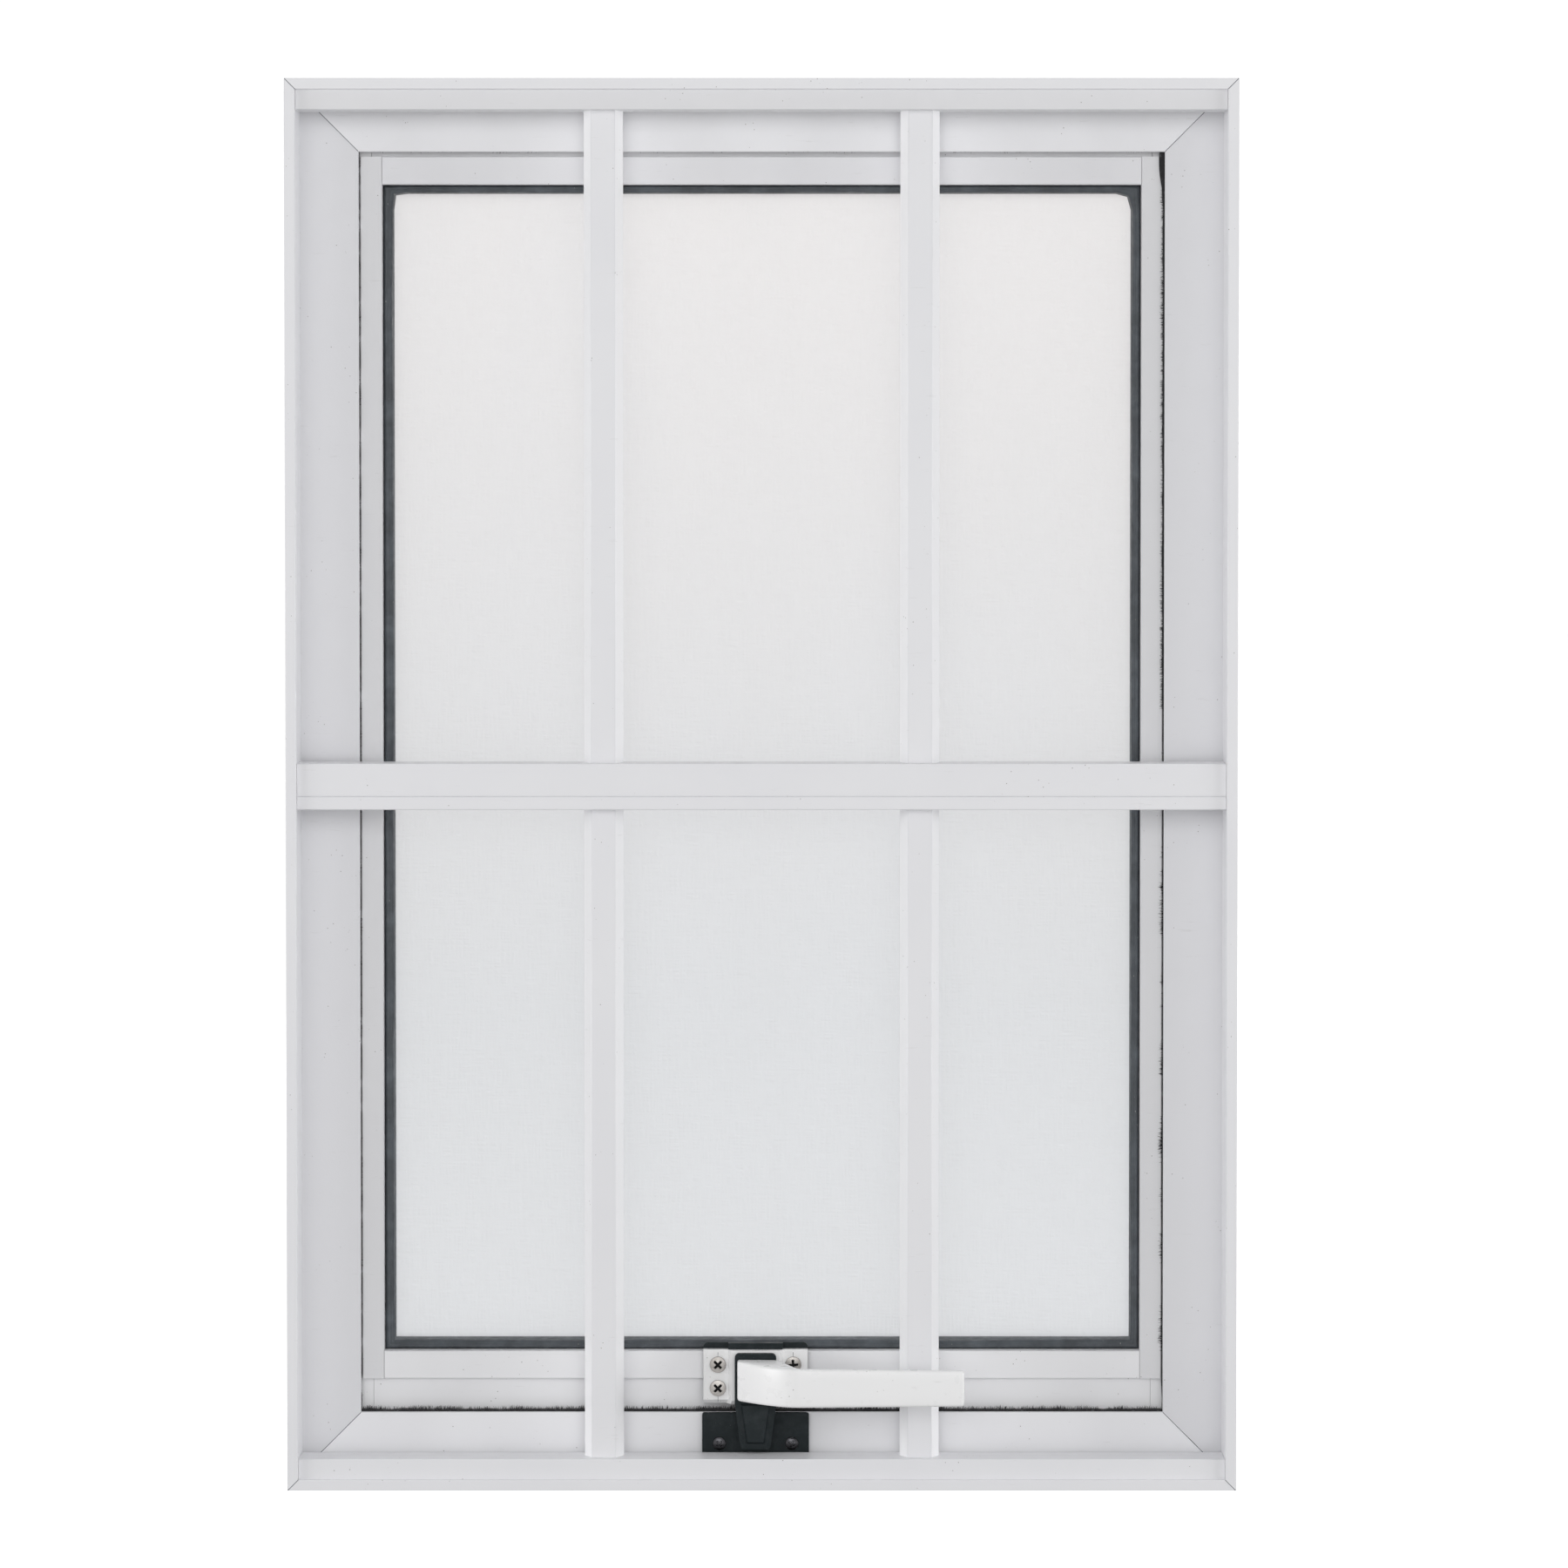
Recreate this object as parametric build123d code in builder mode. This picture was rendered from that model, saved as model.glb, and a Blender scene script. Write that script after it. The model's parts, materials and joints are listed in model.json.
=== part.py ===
from build123d import *
import os

# A small top-hung projecting window with a built-in bar grille, in millimetres.
# X is the width, Y runs from the room to the outside, Z is up.
# The origin is the middle of the sill's underside.
# Depths below are measured from the room-side edge of the rim.

# Frame: four mitred lengths of one extrusion
frame_width = 400.0
frame_height = 594.0
frame_depth = 68.0
rim_width = 4.6
rim_depth = 26.0
rim_wall = 1.4
flange_face = 24.9
flange_wall = 1.5
back_lip = 5.5
mitre_gap = 0.12
edge_round = 0.4
drain_length = 24.0
drain_height = 2.4

# Pile seal in its groove behind the flange's edge
groove_width = 5.4
groove_hook = 0.6
groove_lip = 0.9
groove_depth = 1.8
pile_base = 0.9
pile_fit = 0.1
pile_thickness = 2.6
pile_gap = 1.0
pile_mitre_gap = 0.5

# Sash: two stiles run through, two rails are cut square between them
sash_overlap = 8.0
seal_space = 4.0
sash_depth = 24.5
sash_wall = 1.4
stile_tube = 13.0
top_rail_tube = 14.4
bottom_rail_tube = 26.4
wing_reach = 12.0
butt_gap = 0.1

# Glazing
bead_lap = 4.5
stile_bead_face = 9.2
rail_bead_face = 11.8
bead_stand = 2.5
bead_fit = 0.1
bead_leg = 1.4
bead_clip = 6.5
glass_thickness = 4.0
glass_clearance = 2.0
setting_block = 3.0
setting_block_length = 40.0
inner_seal = 4.0
outer_seal = 3.0
seal_sight = 4.4
seal_lip = 9.0
seal_lap = 3.6
sash_lip_sight = 2.3

# Grille: two rails, a crossbar and the bars between them
grille_depth = 19.4
grille_setback = 2.0
grille_fit = 0.1
grille_wall = 1.3
grille_round = 0.5
rail_height = 8.4
crossbar_height = 19.5
crossbar_line = 13.9
line_width = 0.45
bar_columns = 2
bar_width = 16.4
bar_face = 10.2
bar_bevel = 6.0
bar_setback = 5.0
bar_depth = 14.0
bar_wall = 1.2

# Fasteners
port_radius = 1.7
port_wall = 1.3
screw_head = 3.5
screw_head_height = 1.4
screw_head_slope = 26.0
recess_span = 1.05
recess_slot = 0.26
recess_depth = 0.65
thread_tail = 2.0
frame_screw_length = 24.0
sash_screw_length = 22.0
bar_screw_length = 15.0
bar_stud_reach = 14.0
access_radius = 4.2
cleat_leg = 28.0
cleat_width = 14.0
cleat_fit = 0.1
fixing_radius = 2.75
fixing_spacing = 394.0
fixing_inset = 6.0

# Handle and catch
handle_offset = -2.7
pivot_height = 45.0
base_width = 44.3
base_height = 23.0
base_plate = 3.6
boss_width = 20.0
boss_slope = 1.6
boss_height = 3.6
backplate_wall = 1.4
backplate_rise = 2.6
handle_screw_span = 32.0
handle_screw_rise = 10.0
spindle_radius = 3.0
running_fit = 0.05
washer_radius = 5.0
washer_thickness = 1.2
collar_width = 17.6
collar_rise = 10.6
collar_round = 2.0
catch_thickness = 3.4
catch_gap = 0.3
catch_reach = 30.0
catch_tip_width = 12.6
catch_rib = 1.2
catch_rib_slope = 30.0
lever_root_height = 16.6
lever_tip_height = 15.0
lever_root = 7.6
lever_root_depth = 8.0
lever_length = 87.7
lever_reach = 30.0
lever_thickness = 4.2
lever_bend = 19.4
lever_sweep = (1, -1)
lever_round = 1.1
strike_width = 45.4
strike_height = 21.0
strike_thickness = 2.6
strike_keeper_width = 12.0
strike_screw_span = 30.8
strike_screw_drop = 13.0
strike_screw_head = 2.8

# Friction stays, one on each side
stay_link = 110.0
stay_top = 4.5
track_width = 20.0
track_height = 7.0
track_wall = 1.4
track_lip = 2.6
track_head = 18.0
track_tail = 30.0
shoe_length = 26.0
shoe_fit = 0.35
arm_width = 14.0
arm_thickness = 2.5
arm_clearance = 1.6
vent_bar_thickness = 2.5
vent_bar_width = 17.0
vent_bar_tail = 30.0
bush_radius = 4.5
rivet_radius = 2.4
rivet_head = 1.2
open_pivot_fit = 0.3
stay_screw_head = 3.2
stay_screw_head_height = 1.2

# Positions that follow from the sizes above
half_width = frame_width / 2
half_depth = frame_depth / 2
wall_x = half_width - rim_wall
opening_inset = rim_width + flange_face
opening_x = half_width - opening_inset
opening_bottom = opening_inset
opening_top = frame_height - opening_inset
flange_back = rim_depth + flange_wall
sash_front = flange_back + seal_space
sash_back = sash_front + sash_depth
sash_x = opening_x + sash_overlap
sash_bottom = opening_bottom - sash_overlap
sash_top = opening_top + sash_overlap
tube_x = sash_x - stile_tube
tube_bottom = sash_bottom + bottom_rail_tube
tube_top = sash_top - top_rail_tube
bead_x = tube_x + bead_lap
bead_bottom = tube_bottom - bead_lap
bead_top = tube_top + bead_lap
sight_x = bead_x - stile_bead_face
sight_bottom = bead_bottom + rail_bead_face
sight_top = bead_top - rail_bead_face
bead_front = sash_front - bead_stand
bead_back = sash_front - bead_fit
lip_front = sash_back - sash_wall
lip_x = sight_x - sash_lip_sight
lip_bottom = sight_bottom + sash_lip_sight
lip_top = sight_top - sash_lip_sight
glass_back = lip_front - outer_seal
glass_front = glass_back - glass_thickness
seal_front = glass_front - inner_seal
grille_x = half_width - rim_width - grille_fit
rail_bottom = rim_width + grille_fit
crossbar_bottom = (frame_height - crossbar_height) / 2
crossbar_top = crossbar_bottom + crossbar_height
bar_front = grille_setback + bar_setback
bar_pitch = frame_width / (bar_columns + 1)
bar_places = [(column - (bar_columns - 1) / 2) * bar_pitch for column in range(bar_columns)]
bar_middle = bar_front + bar_depth / 2
base_back = bead_front - backplate_wall
base_front = base_back - base_plate
boss_front = base_front - boss_height
base_bottom = pivot_height - base_height / 2
base_top = base_bottom + base_height
catch_back = boss_front - catch_gap
catch_front = catch_back - catch_thickness
strike_front = rim_depth - strike_thickness
stay_y = sash_front + sash_depth / 2
pivot_z = sash_top - stay_top
joint_z = pivot_z - stay_link
anchor_z = joint_z - stay_link
track_x = wall_x - track_height
arm_x = track_x - arm_clearance
vent_bar_x = sash_x + vent_bar_thickness

os.makedirs("parts", exist_ok=True)


def save(piece, label):
    piece.part.label = label
    export_step(piece.part, f"parts/{label}.step")


def facing_room(x, y, z):
    """A plane across the window at a depth y, its normal pointing into the room."""
    return Plane(origin=(x, y - half_depth, z), x_dir=(1, 0, 0), z_dir=(0, -1, 0))


def facing_side(side, x, y, z):
    """A plane along the depth, its normal pointing to +X or -X."""
    return Plane(origin=(x, y - half_depth, z), x_dir=(0, 1, 0), z_dir=(side, 0, 0))


def facing_up(side, x, y, z):
    """A level plane, its normal pointing up or down."""
    return Plane(origin=(x, y - half_depth, z), x_dir=(1, 0, 0), z_dir=(0, 0, side))


def block(x, y, z, mode=Mode.ADD):
    """A block between two values on each axis, in the open part."""
    with BuildSketch(facing_room((x[0] + x[1]) / 2, max(y), (z[0] + z[1]) / 2)) as side:
        Rectangle(abs(x[1] - x[0]), abs(z[1] - z[0]))
    extrude(side.sketch, amount=abs(y[1] - y[0]), mode=mode)


def rod(place, radius, length, mode=Mode.ADD):
    """A round bar along a plane's normal, starting on the plane."""
    with BuildSketch(place) as section:
        Circle(radius)
    extrude(section.sketch, amount=length, mode=mode)


def bores(places, radius, depth):
    """Round holes from each plane, against its normal."""
    for place in places:
        with BuildSketch(place) as mouth:
            Circle(radius)
        extrude(mouth.sketch, amount=-depth, mode=Mode.SUBTRACT)


def screws(places, head, head_height, length):
    """Cross-recess screws: each plane lies on the seat, its normal leaving the work.

    The recess is sized by its shares of the head's radius and height.
    """
    with BuildPart() as group:
        for place in places:
            with BuildSketch(place):
                Circle(head)
            extrude(amount=head_height, taper=screw_head_slope)
            with BuildSketch(place):
                Circle(port_radius)
            extrude(amount=-length)
            with BuildSketch(place.offset(head_height)):
                Rectangle(head * recess_span, head * recess_slot, rotation=45)
                Rectangle(head * recess_slot, head * recess_span, rotation=45)
            extrude(amount=-head_height * recess_depth, mode=Mode.SUBTRACT)
    return group


def ring(y, outer, inner):
    """A rectangular ring between two depths; each rectangle is (half width, bottom, top)."""
    with BuildSketch(facing_room(0, max(y), 0)) as face:
        for (half, bottom, top), mode in ((outer, Mode.ADD), (inner, Mode.SUBTRACT)):
            with Locations((0, (bottom + top) / 2)):
                Rectangle(2 * half, top - bottom, mode=mode)
    extrude(face.sketch, amount=abs(y[1] - y[0]))


# ---------------------------------------------------------------- frame
# Each member is drawn looking along it: local X is the depth, local Y runs
# from the outside edge towards the opening.

frame_outline = (
    (0, 0),
    (frame_depth, 0),
    (frame_depth, back_lip),
    (frame_depth - rim_wall, back_lip),
    (frame_depth - rim_wall, rim_wall),
    (flange_back, rim_wall),
    (flange_back, opening_inset),
    (rim_depth, opening_inset),
    (rim_depth, rim_width),
    (0, rim_width),
)
groove_outer = opening_inset - groove_hook
groove_inner = groove_outer - groove_width
member_places = {
    "sill": (facing_side(1, 0, 0, 0), frame_width),
    "head": (facing_side(-1, 0, 0, frame_height), frame_width),
    "jamb_left": (
        Plane(origin=(-half_width, -half_depth, frame_height / 2), x_dir=(0, 1, 0), z_dir=(0, 0, -1)),
        frame_height,
    ),
    "jamb_right": (
        Plane(origin=(half_width, -half_depth, frame_height / 2), x_dir=(0, 1, 0), z_dir=(0, 0, 1)),
        frame_height,
    ),
}
side_signs = {"left": -1, "right": 1}


def cut_mitres(place, length, gap):
    """Trims both ends of a frame length at 45 degrees, half the gap short of the corner."""
    for end in (-1, 1):
        origin = place.from_local_coords((0, 0, end * (length - gap * 2**0.5) / 2))
        split(
            bisect_by=Plane(origin=origin, z_dir=place.z_dir * end + place.y_dir),
            keep=Keep.BOTTOM,
        )


def frame_member(place, length):
    with BuildSketch(place) as section:
        with BuildLine():
            Polyline(*frame_outline, close=True)
        make_face()
        fillet(vertices().group_by(Axis.X)[0], edge_round)
        fillet(vertices().group_by(Axis.Y)[-1], edge_round)
        with Locations((rim_depth / 2, rim_width / 2)):
            Rectangle(rim_depth - 2 * rim_wall, rim_width - 2 * rim_wall, mode=Mode.SUBTRACT)
        # two hooked ribs hold the pile seal's base
        with Locations((flange_back, groove_outer)):
            Rectangle(groove_depth, groove_hook, align=(Align.MIN, Align.MIN))
        with Locations((flange_back, groove_inner)):
            Rectangle(groove_depth, groove_hook, align=(Align.MIN, Align.MAX))
        with Locations((flange_back + groove_depth, groove_outer)):
            Rectangle(groove_hook, groove_lip, align=(Align.MAX, Align.MAX))
        with Locations((flange_back + groove_depth, groove_inner)):
            Rectangle(groove_hook, groove_lip, align=(Align.MAX, Align.MIN))
    extrude(section.sketch, amount=length / 2, both=True)
    cut_mitres(place, length, mitre_gap)


def pile_seal(place, length):
    """A woven base in the groove with a block of pile that brushes the sash."""
    with BuildSketch(place) as section:
        with Locations((flange_back + pile_fit, (groove_inner + groove_outer) / 2)):
            Rectangle(pile_base, groove_width - 2 * pile_fit, align=(Align.MIN, Align.CENTER))
        with Locations((flange_back + pile_fit + pile_base, groove_outer - groove_lip - pile_fit)):
            Rectangle(
                seal_space - pile_gap - pile_fit - pile_base,
                pile_thickness,
                align=(Align.MIN, Align.MAX),
            )
    extrude(section.sketch, amount=length / 2, both=True)
    cut_mitres(place, length, pile_mitre_gap)


# screws through the jambs into the grille's rails and crossbar
rail_screw_heights = (
    rail_bottom + rail_height / 2,
    frame_height / 2,
    frame_height - rail_bottom - rail_height / 2,
)
rail_screw_y = grille_setback + grille_depth / 2
end_screw_places = [
    facing_side(side, side * half_width, rail_screw_y, z)
    for side in side_signs.values()
    for z in rail_screw_heights
]
end_screw_seats = [place.offset(-screw_head_height) for place in end_screw_places]
fixing_y = frame_depth - fixing_inset
fixing_places = [
    facing_side(side, side * half_width, fixing_y, frame_height / 2 + rise)
    for side in side_signs.values()
    for rise in (-fixing_spacing / 2, fixing_spacing / 2)
]
strike_screw_places = [
    facing_room(handle_offset + reach, strike_front, opening_bottom - strike_screw_drop)
    for reach in (-strike_screw_span / 2, strike_screw_span / 2)
]
track_screw_places = [
    facing_side(-side, side * (wall_x - track_wall), stay_y, z)
    for side in side_signs.values()
    for z in (anchor_z - track_tail / 2, joint_z - stay_link / 4, joint_z + stay_link / 4)
]

for name, (place, length) in member_places.items():
    with BuildPart() as member:
        frame_member(place, length)
        if name == "sill":
            # water drains out through two slots in the back lip
            for x in (-frame_width / 4, frame_width / 4):
                with BuildSketch(facing_room(x, frame_depth, back_lip / 2)):
                    SlotOverall(drain_length, drain_height)
                extrude(amount=rim_wall, mode=Mode.SUBTRACT)
            bores(strike_screw_places, port_radius, frame_screw_length)
        if "jamb" in name:
            bores(end_screw_places, screw_head, screw_head_height)
            bores(end_screw_places, port_radius, rim_width)
            bores(fixing_places, fixing_radius, rim_wall)
            bores(track_screw_places, port_radius, track_wall + rim_wall)
    save(member, f"frame_{name}")
    with BuildPart() as pile:
        pile_seal(place, length)
    save(pile, f"pile_seal_{name}")

# bent steel cleats slide into the rim's chamber and hold the mitred corners
cleat_inner = rim_width - rim_wall - cleat_fit
cleat_outer = rim_wall + cleat_fit
cleat_y = ((rim_depth - cleat_width) / 2, (rim_depth + cleat_width) / 2)
with BuildPart() as corner_cleats:
    for side in (-1, 1):
        for level, rise in ((0, 1), (frame_height, -1)):
            block(
                (side * (half_width - cleat_outer), side * (half_width - cleat_leg)),
                cleat_y,
                (level + rise * cleat_outer, level + rise * cleat_inner),
            )
            block(
                (side * (half_width - cleat_outer), side * (half_width - cleat_inner)),
                cleat_y,
                (level + rise * cleat_outer, level + rise * cleat_leg),
            )
    bores(end_screw_places, port_radius, rim_width)
save(corner_cleats, "frame_corner_cleats")

# ---------------------------------------------------------------- grille

stud_z = (crossbar_bottom - bar_stud_reach, crossbar_top + bar_stud_reach)


def grille_length(bottom, height, port_z):
    """A hollow length across the window, with a screw port along its middle."""
    port_place = facing_side(1, -grille_x, rail_screw_y, port_z)
    with BuildSketch(facing_side(1, -grille_x, rail_screw_y, bottom + height / 2)) as tube:
        RectangleRounded(grille_depth, height, grille_round)
        RectangleRounded(
            grille_depth - 2 * grille_wall,
            height - 2 * grille_wall,
            grille_round / 2,
            mode=Mode.SUBTRACT,
        )
    extrude(tube.sketch, amount=2 * grille_x)
    with BuildSketch(port_place) as port:
        Circle(port_radius + port_wall)
        Rectangle(2 * grille_wall, height - grille_wall)
    extrude(port.sketch, amount=2 * grille_x)
    rod(port_place, port_radius, 2 * grille_x, mode=Mode.SUBTRACT)


def bar_outline(inset):
    """The bar seen from above: a flat face, a bevel on each side and straight flanks."""
    half = bar_width / 2 - inset
    face = bar_face / 2 - inset / 2
    front = bar_front + inset
    return (
        (-half, bar_front + bar_depth - inset),
        (-half, bar_front + bar_bevel),
        (-face, front),
        (face, front),
        (half, bar_front + bar_bevel),
        (half, bar_front + bar_depth - inset),
    )


def grille_bar(x, bottom, top):
    with BuildSketch(facing_up(1, x, 0, bottom)) as section:
        Polygon(*bar_outline(0), align=None)
        fillet(vertices(), bar_wall / 2)
        Polygon(*bar_outline(bar_wall), align=None, mode=Mode.SUBTRACT)
        with Locations((0, bar_middle)):
            Circle(port_radius + port_wall)
            Rectangle(bar_width - bar_wall, bar_wall)
            Circle(port_radius, mode=Mode.SUBTRACT)
    extrude(section.sketch, amount=top - bottom)


for name, rise, bottom in (
    ("bottom", 1, rail_bottom),
    ("top", -1, frame_height - rail_bottom - rail_height),
):
    inner_face = bottom + rail_height if rise == 1 else bottom
    with BuildPart() as rail:
        grille_length(bottom, rail_height, bottom + rail_height / 2)
        for x in bar_places:
            # the bar's screw passes the port's wall and bears on the inner wall
            place = facing_up(rise, x, bar_middle, inner_face - rise * grille_wall)
            rod(place.offset(-rail_height), access_radius, rail_height, mode=Mode.SUBTRACT)
            rod(place, port_radius, grille_wall, mode=Mode.SUBTRACT)
    save(rail, f"grille_rail_{name}")
    rail_screws = screws(
        [facing_up(-rise, x, bar_middle, inner_face - rise * grille_wall) for x in bar_places],
        screw_head,
        screw_head_height,
        bar_screw_length,
    )
    save(rail_screws, f"grille_bar_screws_{name}")

with BuildPart() as crossbar:
    grille_length(crossbar_bottom, crossbar_height, frame_height / 2)
    with BuildSketch(facing_room(0, grille_setback, crossbar_top - crossbar_line)):
        Rectangle(2 * grille_x, line_width)
    extrude(amount=-grille_wall / 2, mode=Mode.SUBTRACT)
    for x in bar_places:
        rod(facing_up(1, x, bar_middle, stud_z[0]), port_radius, stud_z[1] - stud_z[0], mode=Mode.SUBTRACT)
save(crossbar, "grille_crossbar")

with BuildPart() as studs:
    for x in bar_places:
        rod(facing_up(1, x, bar_middle, stud_z[0]), port_radius, stud_z[1] - stud_z[0])
save(studs, "grille_bar_studs")

for x in bar_places:
    side = "left" if x < 0 else "right"
    with BuildPart() as lower_bar:
        grille_bar(x, rail_bottom + rail_height, crossbar_bottom)
    save(lower_bar, f"grille_bar_lower_{side}")
    with BuildPart() as upper_bar:
        grille_bar(x, crossbar_top, frame_height - rail_bottom - rail_height)
    save(upper_bar, f"grille_bar_upper_{side}")

end_screws = screws(end_screw_seats, screw_head, screw_head_height, frame_screw_length)
save(end_screws, "grille_end_screws")

# ---------------------------------------------------------------- sash

corner_screw_y = sash_front + sash_depth / 3
corner_screw_heights = (
    sash_bottom + bottom_rail_tube / 4,
    sash_bottom + bottom_rail_tube * 3 / 4,
    sash_top - top_rail_tube / 2,
)
corner_screw_places = [
    facing_side(side, side * (tube_x + sash_wall), corner_screw_y, z)
    for side in side_signs.values()
    for z in corner_screw_heights
]
corner_screw_access = [place.offset(stile_tube - sash_wall) for place in corner_screw_places]
handle_screw_places = [
    facing_room(handle_offset + reach, base_front, pivot_height + rise)
    for reach in (-handle_screw_span / 2, handle_screw_span / 2)
    for rise in (-handle_screw_rise / 2, handle_screw_rise / 2)
]
handle_screw_length = sash_front + sash_wall - base_front + thread_tail
vent_screw_places = [
    facing_side(side, side * vent_bar_x, stay_y, z)
    for side in side_signs.values()
    for z in (joint_z - vent_bar_tail / 2, joint_z + stay_link / 3, joint_z + stay_link * 2 / 3)
]


def sash_rail(bottom, top, wing_z, lip_z):
    """A hollow rail between the stiles, with an outer wing and the glass lip."""
    half = tube_x - butt_gap
    block((-half, half), (sash_front, sash_back), (bottom, top))
    block(
        (-half, half),
        (sash_front + sash_wall, lip_front),
        (bottom + sash_wall, top - sash_wall),
        mode=Mode.SUBTRACT,
    )
    block((-sash_x - wing_reach, sash_x + wing_reach), (lip_front, sash_back), wing_z)
    block((-half, half), (lip_front, sash_back), lip_z)
    for place in corner_screw_places:
        if bottom < place.origin.Z < top:
            port = facing_side(1, -half, corner_screw_y, place.origin.Z)
            rod(port, port_radius + port_wall, 2 * half)
            block(
                (-half, half),
                (sash_front, corner_screw_y),
                (place.origin.Z - port_wall / 2, place.origin.Z + port_wall / 2),
            )
            rod(port, port_radius, 2 * half, mode=Mode.SUBTRACT)


def sash_stile(side):
    """A hollow stile the full height of the sash, coped where it meets the rails."""
    block((side * tube_x, side * sash_x), (sash_front, sash_back), (sash_bottom, sash_top))
    block(
        (side * (tube_x + sash_wall), side * (sash_x - sash_wall)),
        (sash_front + sash_wall, lip_front),
        (sash_bottom, sash_top),
        mode=Mode.SUBTRACT,
    )
    block(
        (side * sash_x, side * (sash_x + wing_reach)),
        (lip_front, sash_back),
        (sash_bottom + butt_gap, sash_top - butt_gap),
    )
    block(
        (side * lip_x, side * tube_x),
        (lip_front, sash_back),
        (lip_bottom + butt_gap, lip_top - butt_gap),
    )


with BuildPart() as bottom_rail:
    sash_rail(sash_bottom, tube_bottom, (sash_bottom - wing_reach, sash_bottom), (tube_bottom, lip_bottom))
    bores(handle_screw_places, port_radius, handle_screw_length)
save(bottom_rail, "sash_rail_bottom")

with BuildPart() as top_rail:
    sash_rail(tube_top, sash_top, (sash_top, sash_top + wing_reach), (lip_top, tube_top))
save(top_rail, "sash_rail_top")

for name, side in side_signs.items():
    with BuildPart() as stile:
        sash_stile(side)
        # each corner screw enters through the outer wall and bears on the inner one
        bores(corner_screw_access, access_radius, sash_wall)
        bores(corner_screw_places, port_radius, sash_wall)
        bores(vent_screw_places, port_radius, vent_bar_thickness + 2 * sash_wall)
    save(stile, f"sash_stile_{name}")

corner_screws = screws(corner_screw_places, screw_head, screw_head_height, sash_screw_length)
save(corner_screws, "sash_corner_screws")

# ---------------------------------------------------------------- glazing

for name, side in side_signs.items():
    with BuildPart() as bead:
        block((side * sight_x, side * bead_x), (bead_front, bead_back), (bead_bottom, bead_top))
        fillet(edges().filter_by(Axis.Z).group_by(Axis.Y)[0], edge_round)
        block(
            (side * sight_x, side * (sight_x + bead_leg)),
            (bead_back, seal_front),
            (sight_bottom, sight_top),
        )
        block(
            (side * (tube_x - bead_fit - bead_leg), side * (tube_x - bead_fit)),
            (bead_back, bead_back + bead_clip),
            (sight_bottom, sight_top),
        )
    save(bead, f"glazing_bead_{name}")

rail_bead_x = sight_x - butt_gap
for name, edge, sight, tube, rise in (
    ("bottom", bead_bottom, sight_bottom, tube_bottom, 1),
    ("top", bead_top, sight_top, tube_top, -1),
):
    with BuildPart() as bead:
        block((-rail_bead_x, rail_bead_x), (bead_front, bead_back), (edge, sight))
        fillet(edges().filter_by(Axis.X).group_by(Axis.Y)[0], edge_round)
        block(
            (-rail_bead_x, rail_bead_x),
            (bead_back, seal_front),
            (sight - rise * bead_leg, sight),
        )
        block(
            (-rail_bead_x, rail_bead_x),
            (bead_back, bead_back + bead_clip),
            (tube + rise * bead_fit, tube + rise * (bead_fit + bead_leg)),
        )
        if name == "bottom":
            bores(handle_screw_places, port_radius, handle_screw_length)
    save(bead, f"glazing_bead_{name}")

with BuildPart() as glass:
    block(
        (glass_clearance - tube_x, tube_x - glass_clearance),
        (glass_front, glass_back),
        (tube_bottom + setting_block, tube_top - setting_block),
    )
    fillet(edges().filter_by(Axis.Y), edge_round)
save(glass, "glass_pane")

with BuildPart() as inner_gasket:
    ring(
        (glass_front, seal_front),
        (sight_x + seal_lap, sight_bottom - seal_lap, sight_top + seal_lap),
        (sight_x - seal_sight, sight_bottom + seal_sight, sight_top - seal_sight),
    )
    ring(
        (seal_front, seal_front - seal_lip),
        (sight_x - bead_fit, sight_bottom + bead_fit, sight_top - bead_fit),
        (sight_x - seal_sight, sight_bottom + seal_sight, sight_top - seal_sight),
    )
save(inner_gasket, "glazing_gasket_inner")

with BuildPart() as outer_gasket:
    ring(
        (glass_back, lip_front),
        (sight_x + sash_lip_sight, sight_bottom - sash_lip_sight, sight_top + sash_lip_sight),
        (lip_x, lip_bottom, lip_top),
    )
save(outer_gasket, "glazing_gasket_outer")

with BuildPart() as setting_blocks:
    for x in (-tube_x / 2, tube_x / 2):
        block(
            (x - setting_block_length / 2, x + setting_block_length / 2),
            (glass_front, glass_back),
            (tube_bottom, tube_bottom + setting_block),
        )
save(setting_blocks, "glass_setting_blocks")

# ---------------------------------------------------------------- handle

with BuildPart() as handle_base:
    with BuildSketch(facing_up(1, handle_offset, 0, base_bottom)):
        Polygon(
            (-base_width / 2, base_back),
            (-base_width / 2, base_front),
            (-boss_width / 2 - boss_slope, base_front),
            (-boss_width / 2, boss_front),
            (boss_width / 2, boss_front),
            (boss_width / 2 + boss_slope, base_front),
            (base_width / 2, base_front),
            (base_width / 2, base_back),
            align=None,
        )
    extrude(amount=base_height)
    front_edges = edges().filter_by(Axis.X).group_by(Axis.Z)[0].sort_by(Axis.Y)[:3]
    chamfer(front_edges, boss_slope)
    bores(handle_screw_places, port_radius + running_fit, base_plate)
    rod(
        facing_room(handle_offset, base_back, pivot_height),
        spindle_radius + running_fit,
        base_back - boss_front,
        mode=Mode.SUBTRACT,
    )
    rod(
        facing_room(handle_offset, base_back, pivot_height),
        washer_radius + running_fit,
        washer_thickness + running_fit,
        mode=Mode.SUBTRACT,
    )
save(handle_base, "handle_base")

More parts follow.
